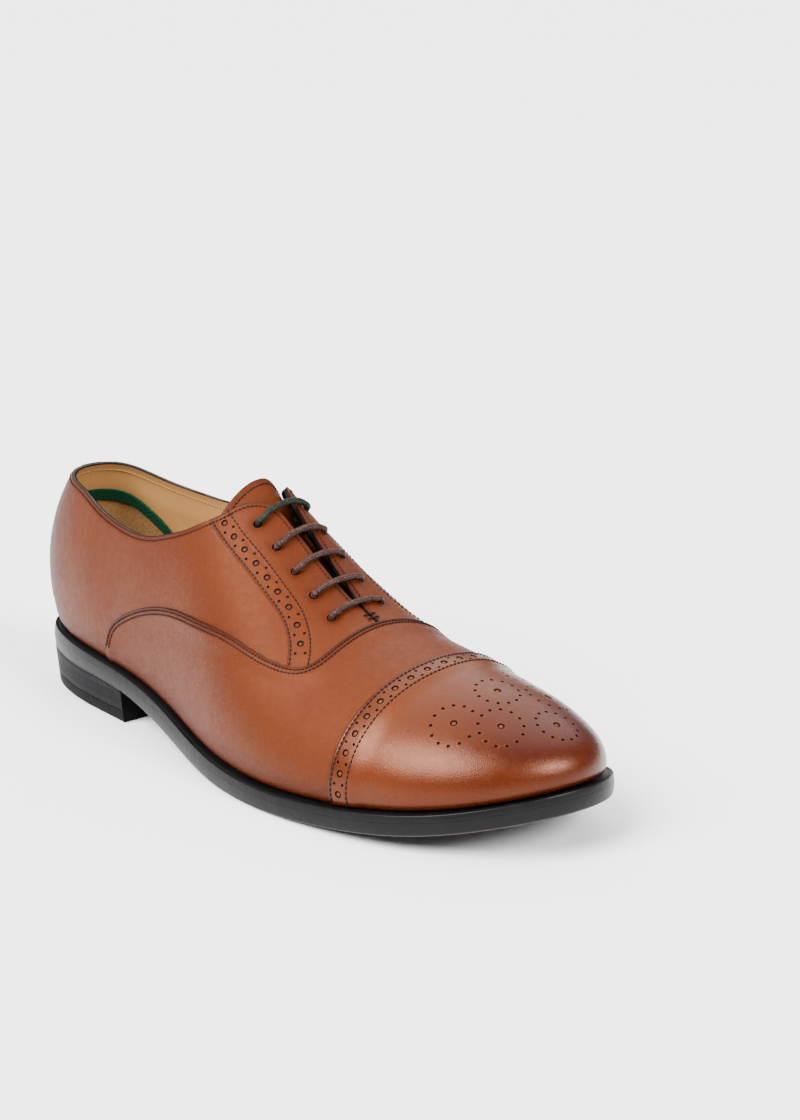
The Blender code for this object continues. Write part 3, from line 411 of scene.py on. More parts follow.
def cut_out(piece, cutter, sharp):
    """Takes a cutter's volume out of a piece and keeps the result as the piece's mesh."""
    modifier = piece.modifiers.new(cutter.name, "BOOLEAN")
    modifier.operation = "DIFFERENCE"
    modifier.solver = "EXACT"
    modifier.material_mode = "INDEX"
    modifier.object = cutter
    bpy.context.view_layer.update()
    cut = bpy.data.meshes.new_from_object(piece.evaluated_get(bpy.context.evaluated_depsgraph_get()))
    piece.modifiers.clear()
    piece.data = cut
    cut.set_sharp_from_angle(angle=math.radians(sharp))
    bpy.data.objects.remove(cutter, do_unlink=True)


def add_mesh(name, points, faces, looks, body="shoe", nodes=(), slot=None, face_looks=None, fields=None,
             sharp=40, weld=True):
    """A piece from points in millimetres. Fields are values per point that its material reads by name."""
    mesh = bpy.data.meshes.new(name)
    points = (np.asarray(points, float).reshape(-1, 3) + ORIGIN) * MM
    mesh.from_pydata(points.tolist(), [], [tuple(int(i) for i in face) for face in faces])
    for look in looks:
        mesh.materials.append(look)
    if face_looks is not None:
        mesh.polygons.foreach_set("material_index", np.asarray(face_looks, np.int32))
    for field, values in (fields or {}).items():
        attribute = mesh.attributes.new(field, "FLOAT", "POINT")
        attribute.data.foreach_set("value", np.asarray(values, np.float32).reshape(-1))
    body_mesh = bmesh.new()
    body_mesh.from_mesh(mesh)
    if weld:
        bmesh.ops.remove_doubles(body_mesh, verts=body_mesh.verts, dist=2e-6)
    bmesh.ops.recalc_face_normals(body_mesh, faces=body_mesh.faces)
    if body_mesh.calc_volume(signed=True) < 0:
        bmesh.ops.reverse_faces(body_mesh, faces=body_mesh.faces)
    body_mesh.to_mesh(mesh)
    body_mesh.free()
    mesh.shade_smooth()
    if sharp:
        mesh.set_sharp_from_angle(angle=math.radians(sharp))
    piece = placed(name, mesh)
    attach(piece, body)
    if nodes:
        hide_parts(*nodes)
        slot = slot or nodes[0]
    return piece


def grid_quads(rows, columns, start=0, flip=False, wrap_columns=False):
    spaces = columns if wrap_columns else columns - 1
    i, j = np.meshgrid(np.arange(rows - 1), np.arange(spaces), indexing="ij")
    a, b = start + i * columns + j, start + i * columns + (j + 1) % columns
    quads = np.stack([a, b, b + columns, a + columns], -1).reshape(-1, 4)
    return quads[:, ::-1] if flip else quads


def panel(name, angles, wraps, outer, thick, looks, fields, folded=False, inked=None, **kept):
    """A closed leather piece between an outer level and the level below it, on a grid of places.

    The first look covers the faces. The second covers the cut edges and the faces of the inked grid places,
    which the lining uses for painted shade by the lacing gap.
    """
    rows, columns = angles.shape
    base, normal = last_point(angles, wraps), last_normal(angles, wraps)
    outer = np.broadcast_to(outer, angles.shape)
    inner = outer - np.broadcast_to(thick, angles.shape)
    points = np.concatenate([(base + normal * level[..., None]).reshape(-1, 3) for level in (outer, inner)])
    count = rows * columns
    faces = [grid_quads(rows, columns), grid_quads(rows, columns, count, flip=True)]
    face_count = 2 * len(faces[0])
    index = np.arange(count).reshape(rows, columns)
    rims = [index[0], index[:, 0], index[:, -1]] + ([] if folded else [index[-1]])
    for rim in rims:
        faces.append(np.stack([rim[:-1], rim[1:], rim[1:] + count, rim[:-1] + count], -1))
    faces = np.concatenate(faces)
    looks_of = np.zeros(len(faces), int)
    if len(looks) > 1:
        looks_of[face_count:] = 1
    if inked is not None:
        inked = np.concatenate([np.broadcast_to(inked, angles.shape).reshape(-1)] * 2)
        looks_of[inked[faces].all(1)] = 1
    fields = {field: np.concatenate([np.broadcast_to(values, angles.shape).reshape(-1)] * 2)
              for field, values in fields.items()}
    return add_mesh(name, points, faces, looks, face_looks=looks_of, fields=fields, **kept)


EDGE_ROWS = [0, 0.1, 0.25, 0.45, 0.8, 1.2, 1.6, 2.1, 2.8, 3.8]


def rows_between(width, near, far, step):
    """Shares of a width for rows close together near one or both edges and a step apart between."""
    width = np.asarray(width, float)
    middle = max(2, int(np.max(width) / step))
    reach = width * 0.45
    near_scale = np.minimum(1, reach / max(near[-1], 1e-6)) if near[-1] else np.ones_like(width)
    far_scale = np.minimum(1, reach / max(far[-1], 1e-6)) if far[-1] else np.ones_like(width)
    first = [d * near_scale / width for d in near]
    last = [1 - d * far_scale / width for d in far[::-1]]
    between = [first[-1] + (last[0] - first[-1]) * k / middle for k in range(1, middle)]
    return np.array(first + between + last)


def span(first, last):
    """Straight distances between two rows of places."""
    return np.linalg.norm(last_point(*first.T) - last_point(*last.T), axis=-1) * 1.02


def pebbles(points, size, seed):
    """Slow random swells between -1 and 1, for leather that isn't perfectly even."""
    flat = points.reshape(-1, 3) / size + seed
    return np.array([noise.noise(Vector(p)) for p in flat]).reshape(points.shape[:-1])


def burnish(angles, wraps):
    """How dark the leather is polished: towards the toe, the heel and the sole."""
    point = last_point(angles, wraps)
    toe = ramp(-point[..., 0], -286, -232) * (0.6 + 0.4 * ramp(np.abs(wraps), 0.5, 0.85))
    heel = 0.75 * ramp(point[..., 0], 4, 40)
    foot = 0.55 * ramp((1 - np.abs(wraps)) * girth(station_x(angles)), 1, 13)
    foot = foot * (1 - 0.75 * ramp(-point[..., 0], -262, -225))
    top = 0.25 * ramp(np.abs(point[..., 0] - 160), 6, 40) * ramp(np.abs(wraps), 0.1, 0.3)
    return np.clip(1 - (1 - toe) * (1 - heel) * (1 - foot) * (1 - top), 0, 1)


def foot_curl(angles, wraps):
    """The upper turns in under itself where it meets the welt."""
    height = (1 - np.abs(wraps)) * girth(station_x(angles))
    return -1.1 * np.exp(-height / 1.3)


def stitch_row(name, line, level=0.0, look=None, length=STITCH_LENGTH, gap=STITCH_GAP, radius=STITCH_RADIUS,
               body="shoe", slot="bar_tack"):
    """A row of separate stitches of real thread along a track, each dipping into the leather at its ends."""
    count = int(line.length / (length + gap))
    pitch = line.length / count
    share = np.array([0.0, 0.12, 0.5, 0.88, 1.0])
    rise = np.array([-0.32, 0.02, 0.14, 0.02, -0.32])
    thick = np.array([0.6, 0.95, 1.0, 0.95, 0.6]) * radius
    start = (np.arange(count) + 0.5) * pitch - length / 2
    at = start[:, None] + share[None, :] * length
    places = line.at(at)
    base = last_point(places[..., 0], places[..., 1])
    up = last_normal(places[..., 0], places[..., 1])
    level = level(at) if callable(level) else level
    centre = base + up * (level + rise)[..., None]
    tangent = unit(np.gradient(centre, axis=1))
    side = unit(np.cross(up, tangent))
    up = np.cross(tangent, side)
    turns = np.arange(6) * math.pi / 3
    ring = side[:, :, None] * np.cos(turns)[:, None] + up[:, :, None] * np.sin(turns)[:, None]
    points = centre[:, :, None] + ring * thick[:, None, None]
    faces = []
    for k in range(count):
        faces.extend(grid_quads(5, 6, k * 30, wrap_columns=True).tolist())
        faces.append([k * 30 + j for j in range(5, -1, -1)])
        faces.append([k * 30 + 24 + j for j in range(6)])
    return add_mesh(name, points, faces, [look], body=body, slot=slot, weld=False, sharp=None)


def hole_cutter(places, radii, depth, level=0.0):
    """Round punches at places on the surface. They cut near-black walls, the piece's third look, partly inked
    cut edge and partly painted shade inside the hole, and a shallow big hole also gets a floor with a raised
    rim, in its fourth look, inside a dark band of painted shade in the third."""
    body = bmesh.new()
    for (angle, wrap), radius in zip(places, radii):
        centre, out = last_point(angle, wrap), last_normal(angle, wrap)
        along = np.cross(out, [0.3, 0.9, 0.1])
        along /= np.linalg.norm(along)
        across = np.cross(out, along)
        sides = 20 if radius > 1 else 10
        profile = [(-depth, 0.9), (1.5, 1.06)]
        if radius > 1 and depth < 1:
            profile = [(-0.14, 0.3), (-0.24, 0.5), (-depth, 0.62), (-depth, 0.9), (1.5, 1.06)]
        rings = []
        for height, scale in profile:
            rings.append([body.verts.new(Vector(centre + out * (level + height) + radius * scale * (
                along * math.cos(2 * math.pi * k / sides) + across * math.sin(2 * math.pi * k / sides))
                + ORIGIN) * MM) for k in range(sides)])
        for number, (low, high) in enumerate(zip(rings, rings[1:])):
            for k in range(sides):
                wall = body.faces.new((low[k], low[(k + 1) % sides], high[(k + 1) % sides], high[k]))
                wall.material_index = 3 if number < len(profile) - 4 else 2
        body.faces.new(rings[0][::-1]).material_index = 3 if len(profile) > 2 else 2
        body.faces.new(rings[-1]).material_index = 2
    bmesh.ops.recalc_face_normals(body, faces=body.faces)
    return object_of("punch", body)


def punch(piece, places, radii, depth=HOLE_DEPTH, level=0.0):
    """Punches round holes into a piece, at places on the surface."""
    cut_out(piece, hole_cutter(places, radii, depth, level), 40)


# ---- materials ----

class Look:
    """A Principled material, with short ways to wire its nodes."""

    def __init__(self, name, roughness=0.5, metallic=0.0, specular=0.5, sheen=0.0):
        self.material = bpy.data.materials.new(name)
        self.material.use_nodes = True
        self.tree = self.material.node_tree
        self.shader = self.tree.nodes["Principled BSDF"]
        for socket, value in (("Roughness", roughness), ("Metallic", metallic),
                              ("Specular IOR Level", specular), ("Sheen Weight", sheen)):
            self.shader.inputs[socket].default_value = value
        self.place = self.node("ShaderNodeTexCoord").outputs["Object"]

    def node(self, kind, **settings):
        node = self.tree.nodes.new(kind)
        for key, value in settings.items():
            setattr(node, key, value)
        return node

    def link(self, source, target):
        self.tree.links.new(source, target)

    def noise(self, per_mm, detail=3.0, rough=0.5, stretch=None):
        """Noise between 0 and 1 whose grains are about 1 / per_mm millimetres across."""
        node = self.node("ShaderNodeTexNoise")
        node.inputs["Scale"].default_value = 1000 * per_mm
        node.inputs["Detail"].default_value = detail
        node.inputs["Roughness"].default_value = rough
        self.link(self.stretched(stretch) if stretch else self.place, node.inputs["Vector"])
        return node.outputs["Fac"]

    def stretched(self, scale):
        node = self.node("ShaderNodeMapping")
        node.inputs["Scale"].default_value = scale
        self.link(self.place, node.inputs["Vector"])
        return node.outputs["Vector"]

    def cells(self, per_mm, smooth=0.6, feature="SMOOTH_F1"):
        node = self.node("ShaderNodeTexVoronoi", feature=feature)
        node.inputs["Scale"].default_value = 1000 * per_mm
        if feature == "SMOOTH_F1":
            node.inputs["Smoothness"].default_value = smooth
        self.link(self.place, node.inputs["Vector"])
        return node.outputs["Distance"]

    def field(self, name):
        return self.node("ShaderNodeAttribute", attribute_name=name).outputs["Fac"]

    def math(self, operation, a, b):
        node = self.node("ShaderNodeMath", operation=operation)
        for socket, value in zip(node.inputs, (a, b)):
            if isinstance(value, (int, float)):
                socket.default_value = value
            else:
                self.link(value, socket)
        return node.outputs[0]

    def times(self, a, b):
        return self.math("MULTIPLY", a, b)

    def fit(self, value, low=0.3, high=0.7, to_low=0, to_high=1):
        node = self.node("ShaderNodeMapRange")
        self.link(value, node.inputs["Value"])
        for key, number in (("From Min", low), ("From Max", high), ("To Min", to_low), ("To Max", to_high)):
            node.inputs[key].default_value = number
        return node.outputs["Result"]

    def mix(self, share, first, second):
        """A colour between two, each a colour or a socket."""
        node = self.node("ShaderNodeMix", data_type="RGBA")
        for socket, value in ((node.inputs[0], share), (node.inputs[6], first), (node.inputs[7], second)):
            if isinstance(value, (int, float)):
                socket.default_value = value
            elif isinstance(value, tuple):
                socket.default_value = (*value, 1)
            else:
                self.link(value, socket)
        return node.outputs[2]

    def color(self, value):
        if isinstance(value, tuple):
            self.shader.inputs["Base Color"].default_value = (*value, 1)
        else:
            self.link(value, self.shader.inputs["Base Color"])

    def roughness(self, value):
        self.link(value, self.shader.inputs["Roughness"])

    def bump(self, height, depth, strength=1.0):
        """Bumps of a height field, as deep as depth millimetres."""
        node = self.node("ShaderNodeBump")
        node.inputs["Strength"].default_value = strength
        node.inputs["Distance"].default_value = depth * MM
        self.link(height, node.inputs["Height"])
        if self.shader.inputs["Normal"].links:
            self.link(self.shader.inputs["Normal"].links[0].from_socket, node.inputs["Normal"])
        self.link(node.outputs["Normal"], self.shader.inputs["Normal"])


def upper_leather(name, base, dark, red, roughness, specular, pebbling, swells):
    """Polished calf: mottled colour, a fine pebbled grain, darker where it is burnished."""
    look = Look(name, roughness=roughness, specular=specular)
    look.shader.inputs["Specular Tint"].default_value = (1.0, 0.5, 0.36, 1)
    clouds = look.fit(look.noise(0.035, 3))
    mottle = look.fit(look.noise(0.35, 4, 0.6))
    pores = look.fit(look.noise(1.6, 2), 0.35, 0.62)
    color = look.mix(look.times(clouds, 0.55), base, red)
    color = look.mix(look.times(mottle, 0.16), color, dark)
    color = look.mix(look.times(pores, 0.12), color, dark)
    shade = look.times(look.field("burnish"), look.fit(look.noise(0.09, 3), 0.2, 0.8, 0.75, 1.1))
    color = look.mix(look.math("MINIMUM", shade, 0.92), color, dark)
    # Inked cut edges, and painted shade on the tongue under the lacing gap, take the colour towards near
    # black.
    color = look.mix(look.field("ink_and_painted_shade"), color, tuple(c * 0.25 for c in dark))
    look.color(color)
    grain = look.cells(2.2, 0.8)
    fine = look.noise(3.4, 3, 0.6)
    look.roughness(look.fit(mottle, 0, 1, roughness - 0.05, roughness + 0.05))
    look.bump(look.math("ADD", look.times(grain, 0.9), look.times(fine, 0.5)), 0.16, pebbling)
    look.bump(look.noise(0.12, 3, 0.5), 0.5, swells)
    return look.material


def lining_leather():
    look = Look("lining_leather", roughness=0.55, specular=0.15)
    clouds = look.fit(look.noise(0.05, 4))
    pores = look.fit(look.cells(0.7, feature="F1"), 0.0, 0.35, 1, 0)
    color = look.mix(look.times(clouds, 0.5), (0.30, 0.150, 0.050), (0.25, 0.115, 0.034))
    color = look.mix(look.times(pores, 0.18), color, (0.16, 0.07, 0.025))
    look.color(color)
    look.roughness(look.fit(clouds, 0, 1, 0.48, 0.62))
    look.bump(look.cells(0.8, 0.7), 0.08, 0.4)
    return look.material


def edge_ink(name, roughness, specular, lightness):
    """The dyed cut edges of the leather, waxed or left dull; the dull one also stands as painted shade on the
    lining by the lacing gap.
    """
    look = Look(name, roughness=roughness, specular=specular)
    fibres = look.fit(look.noise(1.2, 3, stretch=(1, 1, 3)))
    dark, light = (0.0035, 0.0020, 0.0016), (0.010, 0.0038, 0.0024)
    look.color(look.mix(fibres, tuple(c * lightness for c in dark), tuple(c * lightness for c in light)))
    look.roughness(look.fit(fibres, 0, 1, roughness - 0.03, roughness + 0.13))
    look.bump(fibres, 0.08, 0.4)
    return look.material


# Near black for the walls and outer floor band of punched holes: inked cut edge with the shade inside the
# hole painted in.
def hole_dark():
    look = Look("hole_dark", roughness=0.7, specular=0.1)
    look.color(look.mix(look.noise(1.5), (0.004, 0.0012, 0.0007), (0.011, 0.003, 0.0015)))
    look.bump(look.noise(2.0), 0.08, 0.4)
    return look.material


def hole_floor(name, color):
    """The underlay seen through a punched hole."""
    look = Look(name, roughness=0.6, specular=0.12)
    look.color(look.mix(look.noise(1.2, 3), color, tuple(c * 0.6 for c in color)))
    look.bump(look.noise(1.8, 3), 0.12, 0.6)
    return look.material


def thread(name, color, light):
    look = Look(name, roughness=0.6, specular=0.12)
    strands = look.fit(look.noise(3.0, 2), 0.35, 0.65)
    look.color(look.mix(strands, color, light))
    look.bump(strands, 0.1, 0.5)
    return look.material


def sole_black(name, gloss, tone, scuffs=0.5):
    look = Look(name, roughness=0.4, specular=0.03 + 0.09 * gloss)
    clouds = look.fit(look.noise(0.08, 4, 0.6))
    scuff = look.fit(look.noise(0.8, 5, 0.7), 0.58, 0.72)
    color = look.mix(clouds, tone, tuple(c * 1.45 for c in tone))
    color = look.mix(look.times(scuff, 0.3 * scuffs), color, (0.018, 0.016, 0.016))
    look.color(color)
    look.roughness(look.math("ADD", look.fit(clouds, 0, 1, 0.46 - 0.16 * gloss, 0.58 - 0.18 * gloss),
                             look.times(scuff, 0.15)))
    look.bump(look.noise(0.6, 4, 0.6), 0.22, 0.4)
    look.bump(look.noise(0.15, 2), 0.5, 0.3)
    return look.material


def braid(name, color, fleck):
    """A waxed round lace: the braid is in the mesh, and the flecks of its strands are here."""
    look = Look(name, roughness=0.45, specular=0.16)
    # Paler flecks scattered over the crowns of the strands.
    fleck_spots = look.fit(look.noise(1.3, 3, 0.7), 0.46, 0.6)
    strands = look.fit(look.field("strand"), 0.35, 0.85)
    look.color(look.mix(look.times(fleck_spots, strands), color, fleck))
    look.roughness(look.fit(strands, 0, 1, 0.6, 0.4))
    look.bump(look.noise(3.0, 3), 0.1, 0.6)
    return look.material


def woven_tape():
    look = Look("woven_tape", roughness=0.85, specular=0.1)
    wave = look.node("ShaderNodeTexWave", bands_direction="DIAGONAL")
    wave.inputs["Scale"].default_value = 560
    wave.inputs["Distortion"].default_value = 1.2
    look.link(look.place, wave.inputs["Vector"])
    weave = wave.outputs["Fac"]
    look.bump(weave, 0.3, 0.8)
    fuzz = look.noise(2.5, 3)
    color = look.mix(weave, (0.0005, 0.0045, 0.0022), (0.0015, 0.042, 0.018))
    look.color(look.mix(look.times(fuzz, 0.3), color, (0.003, 0.055, 0.025)))
    look.bump(fuzz, 0.15, 0.5)
    return look.material


def suede():
    look = Look("suede", roughness=0.95, specular=0.08, sheen=0.03)
    nap = look.fit(look.noise(1.4, 5, 0.7), 0.32, 0.68)
    patches = look.fit(look.noise(0.12, 3))
    color = look.mix(nap, (0.13, 0.066, 0.021), (0.32, 0.18, 0.068))
    look.color(look.mix(look.times(patches, 0.4), color, (0.17, 0.085, 0.027)))
    look.bump(look.noise(2.0, 5, 0.7), 0.25, 0.7)
    return look.material


def plain_stuff(name, first, second, per_mm, roughness, metallic=0.0, depth=0.2):
    """Cork, felt, board and metal: the pieces that are hidden inside the shoe."""
    look = Look(name, roughness=roughness, metallic=metallic)
    grains = look.fit(look.noise(per_mm, 4, 0.6))
    look.color(look.mix(grains, first, second))
    look.roughness(look.fit(grains, 0, 1, roughness * 0.85, min(1, roughness * 1.1)))
    look.bump(grains, depth, 0.5)
    return look.material


TAN = ((0.074, 0.0145, 0.0016), (0.023, 0.0024, 0.0009), (0.061, 0.0085, 0.0012))
LEATHER = upper_leather("tan_leather", *TAN, roughness=0.45, specular=0.2, pebbling=0.9, swells=0.3)
CAP_LEATHER = upper_leather("cap_leather", *TAN, roughness=0.30, specular=0.36, pebbling=0.35, swells=0.12)
LINING = lining_leather()
INK = edge_ink("edge_ink", 0.25, 0.2, 1.0)
# The dull ink also covers the lining faces by the lacing gap, as painted shade there.
DULL_INK_AND_SHADE = edge_ink("dull_ink_and_painted_shade", 0.8, 0.02, 0.4)
HOLE = hole_dark()
UNDERLAY = hole_floor("underlay", (0.075, 0.0135, 0.0024))
CAP_UNDERLAY = hole_floor("cap_underlay", (0.11, 0.028, 0.007))
THREAD = thread("dark_thread", (0.0028, 0.0010, 0.0007), (0.009, 0.0030, 0.0018))
SEAM_THREAD = thread("seam_thread", (0.0055, 0.0012, 0.0006), (0.018, 0.0042, 0.0016))
LINING_THREAD = thread("lining_thread", (0.22, 0.105, 0.03), (0.34, 0.19, 0.07))
SOLE_EDGE = sole_black("sole_edge_black", 1.0, (0.0026, 0.0022, 0.0027), 0.6)
WELT_TOP = sole_black("welt_top_black", 0.5, (0.0022, 0.0019, 0.0022), 0.3)
HEEL_BLACK = sole_black("heel_black", 0.15, (0.0026, 0.0022, 0.0030), 0.4)
SOLE_UNDER = sole_black("sole_underside", 0.2, (0.0055, 0.0048, 0.0046), 1.0)
RUBBER = sole_black("top_piece_rubber", 0.0, (0.0040, 0.0037, 0.0042), 0.5)
RIM_BROWN = plain_stuff("rim_leather", (0.010, 0.0045, 0.0026), (0.022, 0.010, 0.005), 0.8, 0.6)
BROWN_LACE = braid("brown_lace", (0.015, 0.0040, 0.0030), (0.13, 0.064, 0.052))
GREEN_LACE = braid("green_lace", (0.0012, 0.0024, 0.0015), (0.030, 0.042, 0.028))
TAPE = woven_tape()
SUEDE = suede()


# ---- the upper ----

def cap_seam(wraps):
    halves = ((OUTER, CAP_EDGE), (INNER, CAP_EDGE[:-1][::-1]))
    points = [(wrap * side, x) for side, line in halves for x, wrap in line]
    return Spline(points)(wraps)


def toe_cap():
    """The cap: a brogued rear edge that laps over the vamp, and a medallion."""
    wraps = np.linspace(-FOOT_WRAP, FOOT_WRAP, 151)
    rear = cap_seam(wraps)
    distances = EDGE_ROWS + [4.8, 6, 7.4, 8.2, 9, 10.5, 12]
    near = [station(rear + d) for d in distances]
    far = [near[-1] + (math.pi - near[-1]) * k / 46 for k in range(1, 47)]
    angles = np.array(near + far)
    wraps = np.broadcast_to(wraps, angles.shape)
    depth = station_x(angles) - rear
    base = last_point(angles, wraps)
    outer = LAP_RISE * ramp(depth, 8.2, 15) - rounded(depth) + foot_curl(angles, wraps)
    outer = outer + 0.12 * pebbles(base, 18, 3.1) * ramp(-depth, -14, -9)
    outer = outer - 0.16 * grooves(depth, (1.3, 8.6))
    shade = np.maximum(burnish(angles, wraps), 0.55 * ramp(depth, 0.4, 9.5))
    ink_and_painted_shade = CREASE * ramp(depth, 0.4, 0.8)
    piece = panel("toe_cap", angles, wraps, outer, LEATHER_THICK, [CAP_LEATHER, INK, HOLE, CAP_UNDERLAY],
                  {"burnish": shade, "ink_and_painted_shade": ink_and_painted_shade}, folded=True, nodes=["toe_cap"])
    across = np.linspace(-0.985, 0.985, 200)
    line = Track(np.stack([station(cap_seam(across)), across], -1))
    for number, aside in enumerate((1.3, 8.6)):
        row = line.beside(-aside, 0.5, 0.5)
        stitch_row(f"cap_stitches_{number + 1}", row, LAP_RISE - 0.04, SEAM_THREAD, radius=0.31)
    places, radii = brogue(line, -BROGUE_CENTRE - 0.2)
    more, more_radii = medallion()
    punch(piece, places, radii, level=LAP_RISE)
    punch(piece, more, more_radii)


def brogue(line, aside):
    """Big holes in a row with a pair of small ones between each two, centred on a track."""
    middle = line.length / 2
    half = int(line.length / 2 / BROGUE_STEP)
    places, radii = [], []
    for k in range(-half, half + 1):
        at = middle + k * BROGUE_STEP
        if 1.5 <= at <= line.length - 1.5:
            places.append(line.at(at, aside))
            radii.append(BIG_HOLE)
        for spread in (-PAIR_SPREAD, PAIR_SPREAD):
            if at + BROGUE_STEP / 2 <= line.length - 1:
                places.append(line.at(at + BROGUE_STEP / 2, aside + spread))
                radii.append(SMALL_HOLE)
    return places, radii


def medallion():
    """Six big holes laid out across the toe, each ringed by small ones that never crowd each other."""
    origin, heading = np.array([254.6, 3.7]), math.radians(11.7)
    ring_radius, second_ring_radius, ring_count = 8.3, 7.6, 13
    small_apart, big_apart, small_scale = 2.9, 6.4, 1.15
    forward = np.array([math.cos(heading), math.sin(heading)])
    left = np.array([-forward[1], forward[0]])
    centres = [(0, 0), (25.6, 0), (12, 16), (12, -16), (-3.2, 23.7), (-3.2, -23.7)]
    big = [origin + forward * a + left * b for a, b in centres]
    small = []
    for number, centre in enumerate(big):
        radius = second_ring_radius if number == 1 else ring_radius
        for k in range(ring_count):
            turn = 2 * math.pi * (k + 0.5 * (number % 2)) / ring_count
            spot = centre + radius * (math.cos(turn) * forward + math.sin(turn) * left)
            clear = all(np.linalg.norm(spot - other) > small_apart for other in small)
            clear = clear and all(np.linalg.norm(spot - other) > big_apart for other in big)
            if clear:
                small.append(spot)
    places = [place_at(*spot) for spot in big + small]
    return places, [BIG_HOLE] * len(big) + [SMALL_HOLE * small_scale] * len(small)


def vamp():
    """From the long rear seam down to the feather and forward to under the cap."""
    rear = seam(VAMP_EDGE)
    front = seam([(x + UNDER_CAP, min(wrap, FOOT_WRAP)) for x, wrap in CAP_EDGE])
    tip, corner = float(station(65.0)), float(station(CAP_EDGE[0][0] + UNDER_CAP))

    def foot_then_front(t):
        t = np.asarray(t, float)
        along = tip + (corner - tip) * np.clip(t / VAMP_CORNER, 0, 1)
        foot = np.stack([along, np.full(t.shape, -FOOT_WRAP)], -1)
        ahead = front(np.clip((t - VAMP_CORNER) / (1 - VAMP_CORNER), 0, 1))
        return np.where((t > VAMP_CORNER)[..., None], ahead, foot)

    half = np.concatenate([np.linspace(0, VAMP_CORNER, 90), np.linspace(VAMP_CORNER, 1, 46)[1:]]) / 2
    t_values = np.concatenate([half, (1 - half[:-1])[::-1]])
    near, far = both_sides(rear)(t_values), both_sides(foot_then_front)(t_values)
    width = span(near, far)
    shares = rows_between(width, EDGE_ROWS + [5, 7, 9, 11], [0, 1.5, 3.5], 2.2)
    place = near * (1 - shares[..., None]) + far * shares[..., None]
    angles, wraps = place[..., 0], place[..., 1]
    depth = shares * width
    base = last_point(angles, wraps)
    outer = LAP_RISE * ramp(depth, 3, 12) - rounded(depth) + foot_curl(angles, wraps)
    outer = outer + (0.22 * pebbles(base, 22, 7.7) + 0.06 * pebbles(base, 6, 1.7)) * ramp(-depth, -12, -5)
    outer = outer - 0.2 * grooves(depth, (1.3, 2.9), 0.42)
    shade = np.maximum(burnish(angles, wraps), 0.45 * ramp(depth, 0.2, 5))
    ink_and_painted_shade = CREASE * ramp(depth, 0.45, 0.85)
    panel("vamp", angles, wraps, outer, LEATHER_THICK, [LEATHER, INK], {"burnish": shade, "ink_and_painted_shade": ink_and_painted_shade},
          nodes=["vamp"])
    line = track(both_sides(rear), 300)
    for number, aside in enumerate((1.3, 2.9)):
        stitch_row(f"vamp_stitches_{number + 1}", line.beside(-aside, 2, 2), LAP_RISE - 0.05, SEAM_THREAD,
                   length=1.2, gap=0.45, radius=0.33)


def two_ends(first, last):
    """The straight lines that join two curves at their ends."""
    lines = []
    for t in (0.0, 1.0):
        low, high = first(np.array(t)), last(np.array(t))
        lines.append(lambda s, low=low, high=high: low + (high - low) * np.asarray(s)[..., None])
    return lines


def patch(first, last, start, end, shares, t_values):
    """A four-sided patch: first and last run along t at share 0 and 1, start and end along the shares."""
    s, t = np.broadcast_arrays(np.asarray(shares, float), np.asarray(t_values, float)[None, :])
    blend = first(t) * (1 - s)[..., None] + last(t) * s[..., None]
    blend += start(s) * (1 - t)[..., None] + end(s) * t[..., None]
    for corner_s, corner_t in ((0, 0), (0, 1), (1, 0), (1, 1)):
        corner = (first if corner_s == 0 else last)(np.array(float(corner_t)))
        weight = (s if corner_s else 1 - s) * (t if corner_t else 1 - t)
        blend -= corner * weight[..., None]
    return blend[..., 0], blend[..., 1]


def quarter(side, word):
    """From the back seam to the facing and the vamp, running under both."""
    under_vamp = moved_seam(VAMP_EDGE[:12], 5.0)
    foot = [(x, FOOT_WRAP) for x in (0, 6, 20, 40, 58)]
    bottom = seam(foot + [(68, 0.972)] + under_vamp[2:-1], side)
    under_facing = moved_seam(STRIP_EDGE[:7], -5.0)
    topline = TOPLINE[side][:-1] + TOPLINE_END[side] + TOPLINE[side][-1:]
    top = seam(topline + [(126, 0.262)] + under_facing[2:-1] + [(184.5, 0.405)], side)
    t_values = np.linspace(0, 1, 130) ** 1.2
    width = span(bottom(t_values), top(t_values))
    shares = rows_between(width, [0, 2], EDGE_ROWS, 1.8)
    angles, wraps = patch(bottom, top, *two_ends(bottom, top), shares, t_values)
    angles = np.maximum(angles, 0.0022)
    base = last_point(angles, wraps)
    depth = (1 - shares) * width
    on_topline = ramp(station_x(angles), 112, 124)
    outer = -rounded(depth) * on_topline + foot_curl(angles, wraps)
    under_strip = -side * beyond(track(seam(STRIP_EDGE, side)), base)
    outer = outer - 1.5 * ramp(-under_strip, -1.6, -0.4) * (depth < 9)
    swell = (0.3 * pebbles(base, 26, 4.2) + 0.07 * pebbles(base, 7, 2.5)) * ramp(-depth, -12, -4)
    outer = outer + swell - 0.14 * grooves(depth, (2.0,)) * on_topline
    shade = np.maximum(burnish(angles, wraps), 0.5 * ramp(depth, 0.2, 4) * on_topline)
    ink_and_painted_shade = CREASE * ramp(depth, 0.35, 0.8) * on_topline
    panel(f"quarter_{word}", angles, wraps, outer, LEATHER_THICK, [LEATHER, INK],
          {"burnish": shade, "ink_and_painted_shade": ink_and_painted_shade}, nodes=[f"quarter_{word}"])


def facing_lines(side):
    strip, gap = seam(STRIP_EDGE, side), seam(FACING_TOP[side][-1:] + GAP_EDGE, side)
    lower = seam([STRIP_EDGE[-1], (189, 0.45), (193, 0.38), (194.5, 0.30), (194.5, 0.15), GAP_EDGE[-1]], side)
    return strip, gap, seam(FACING_TOP[side], side), lower


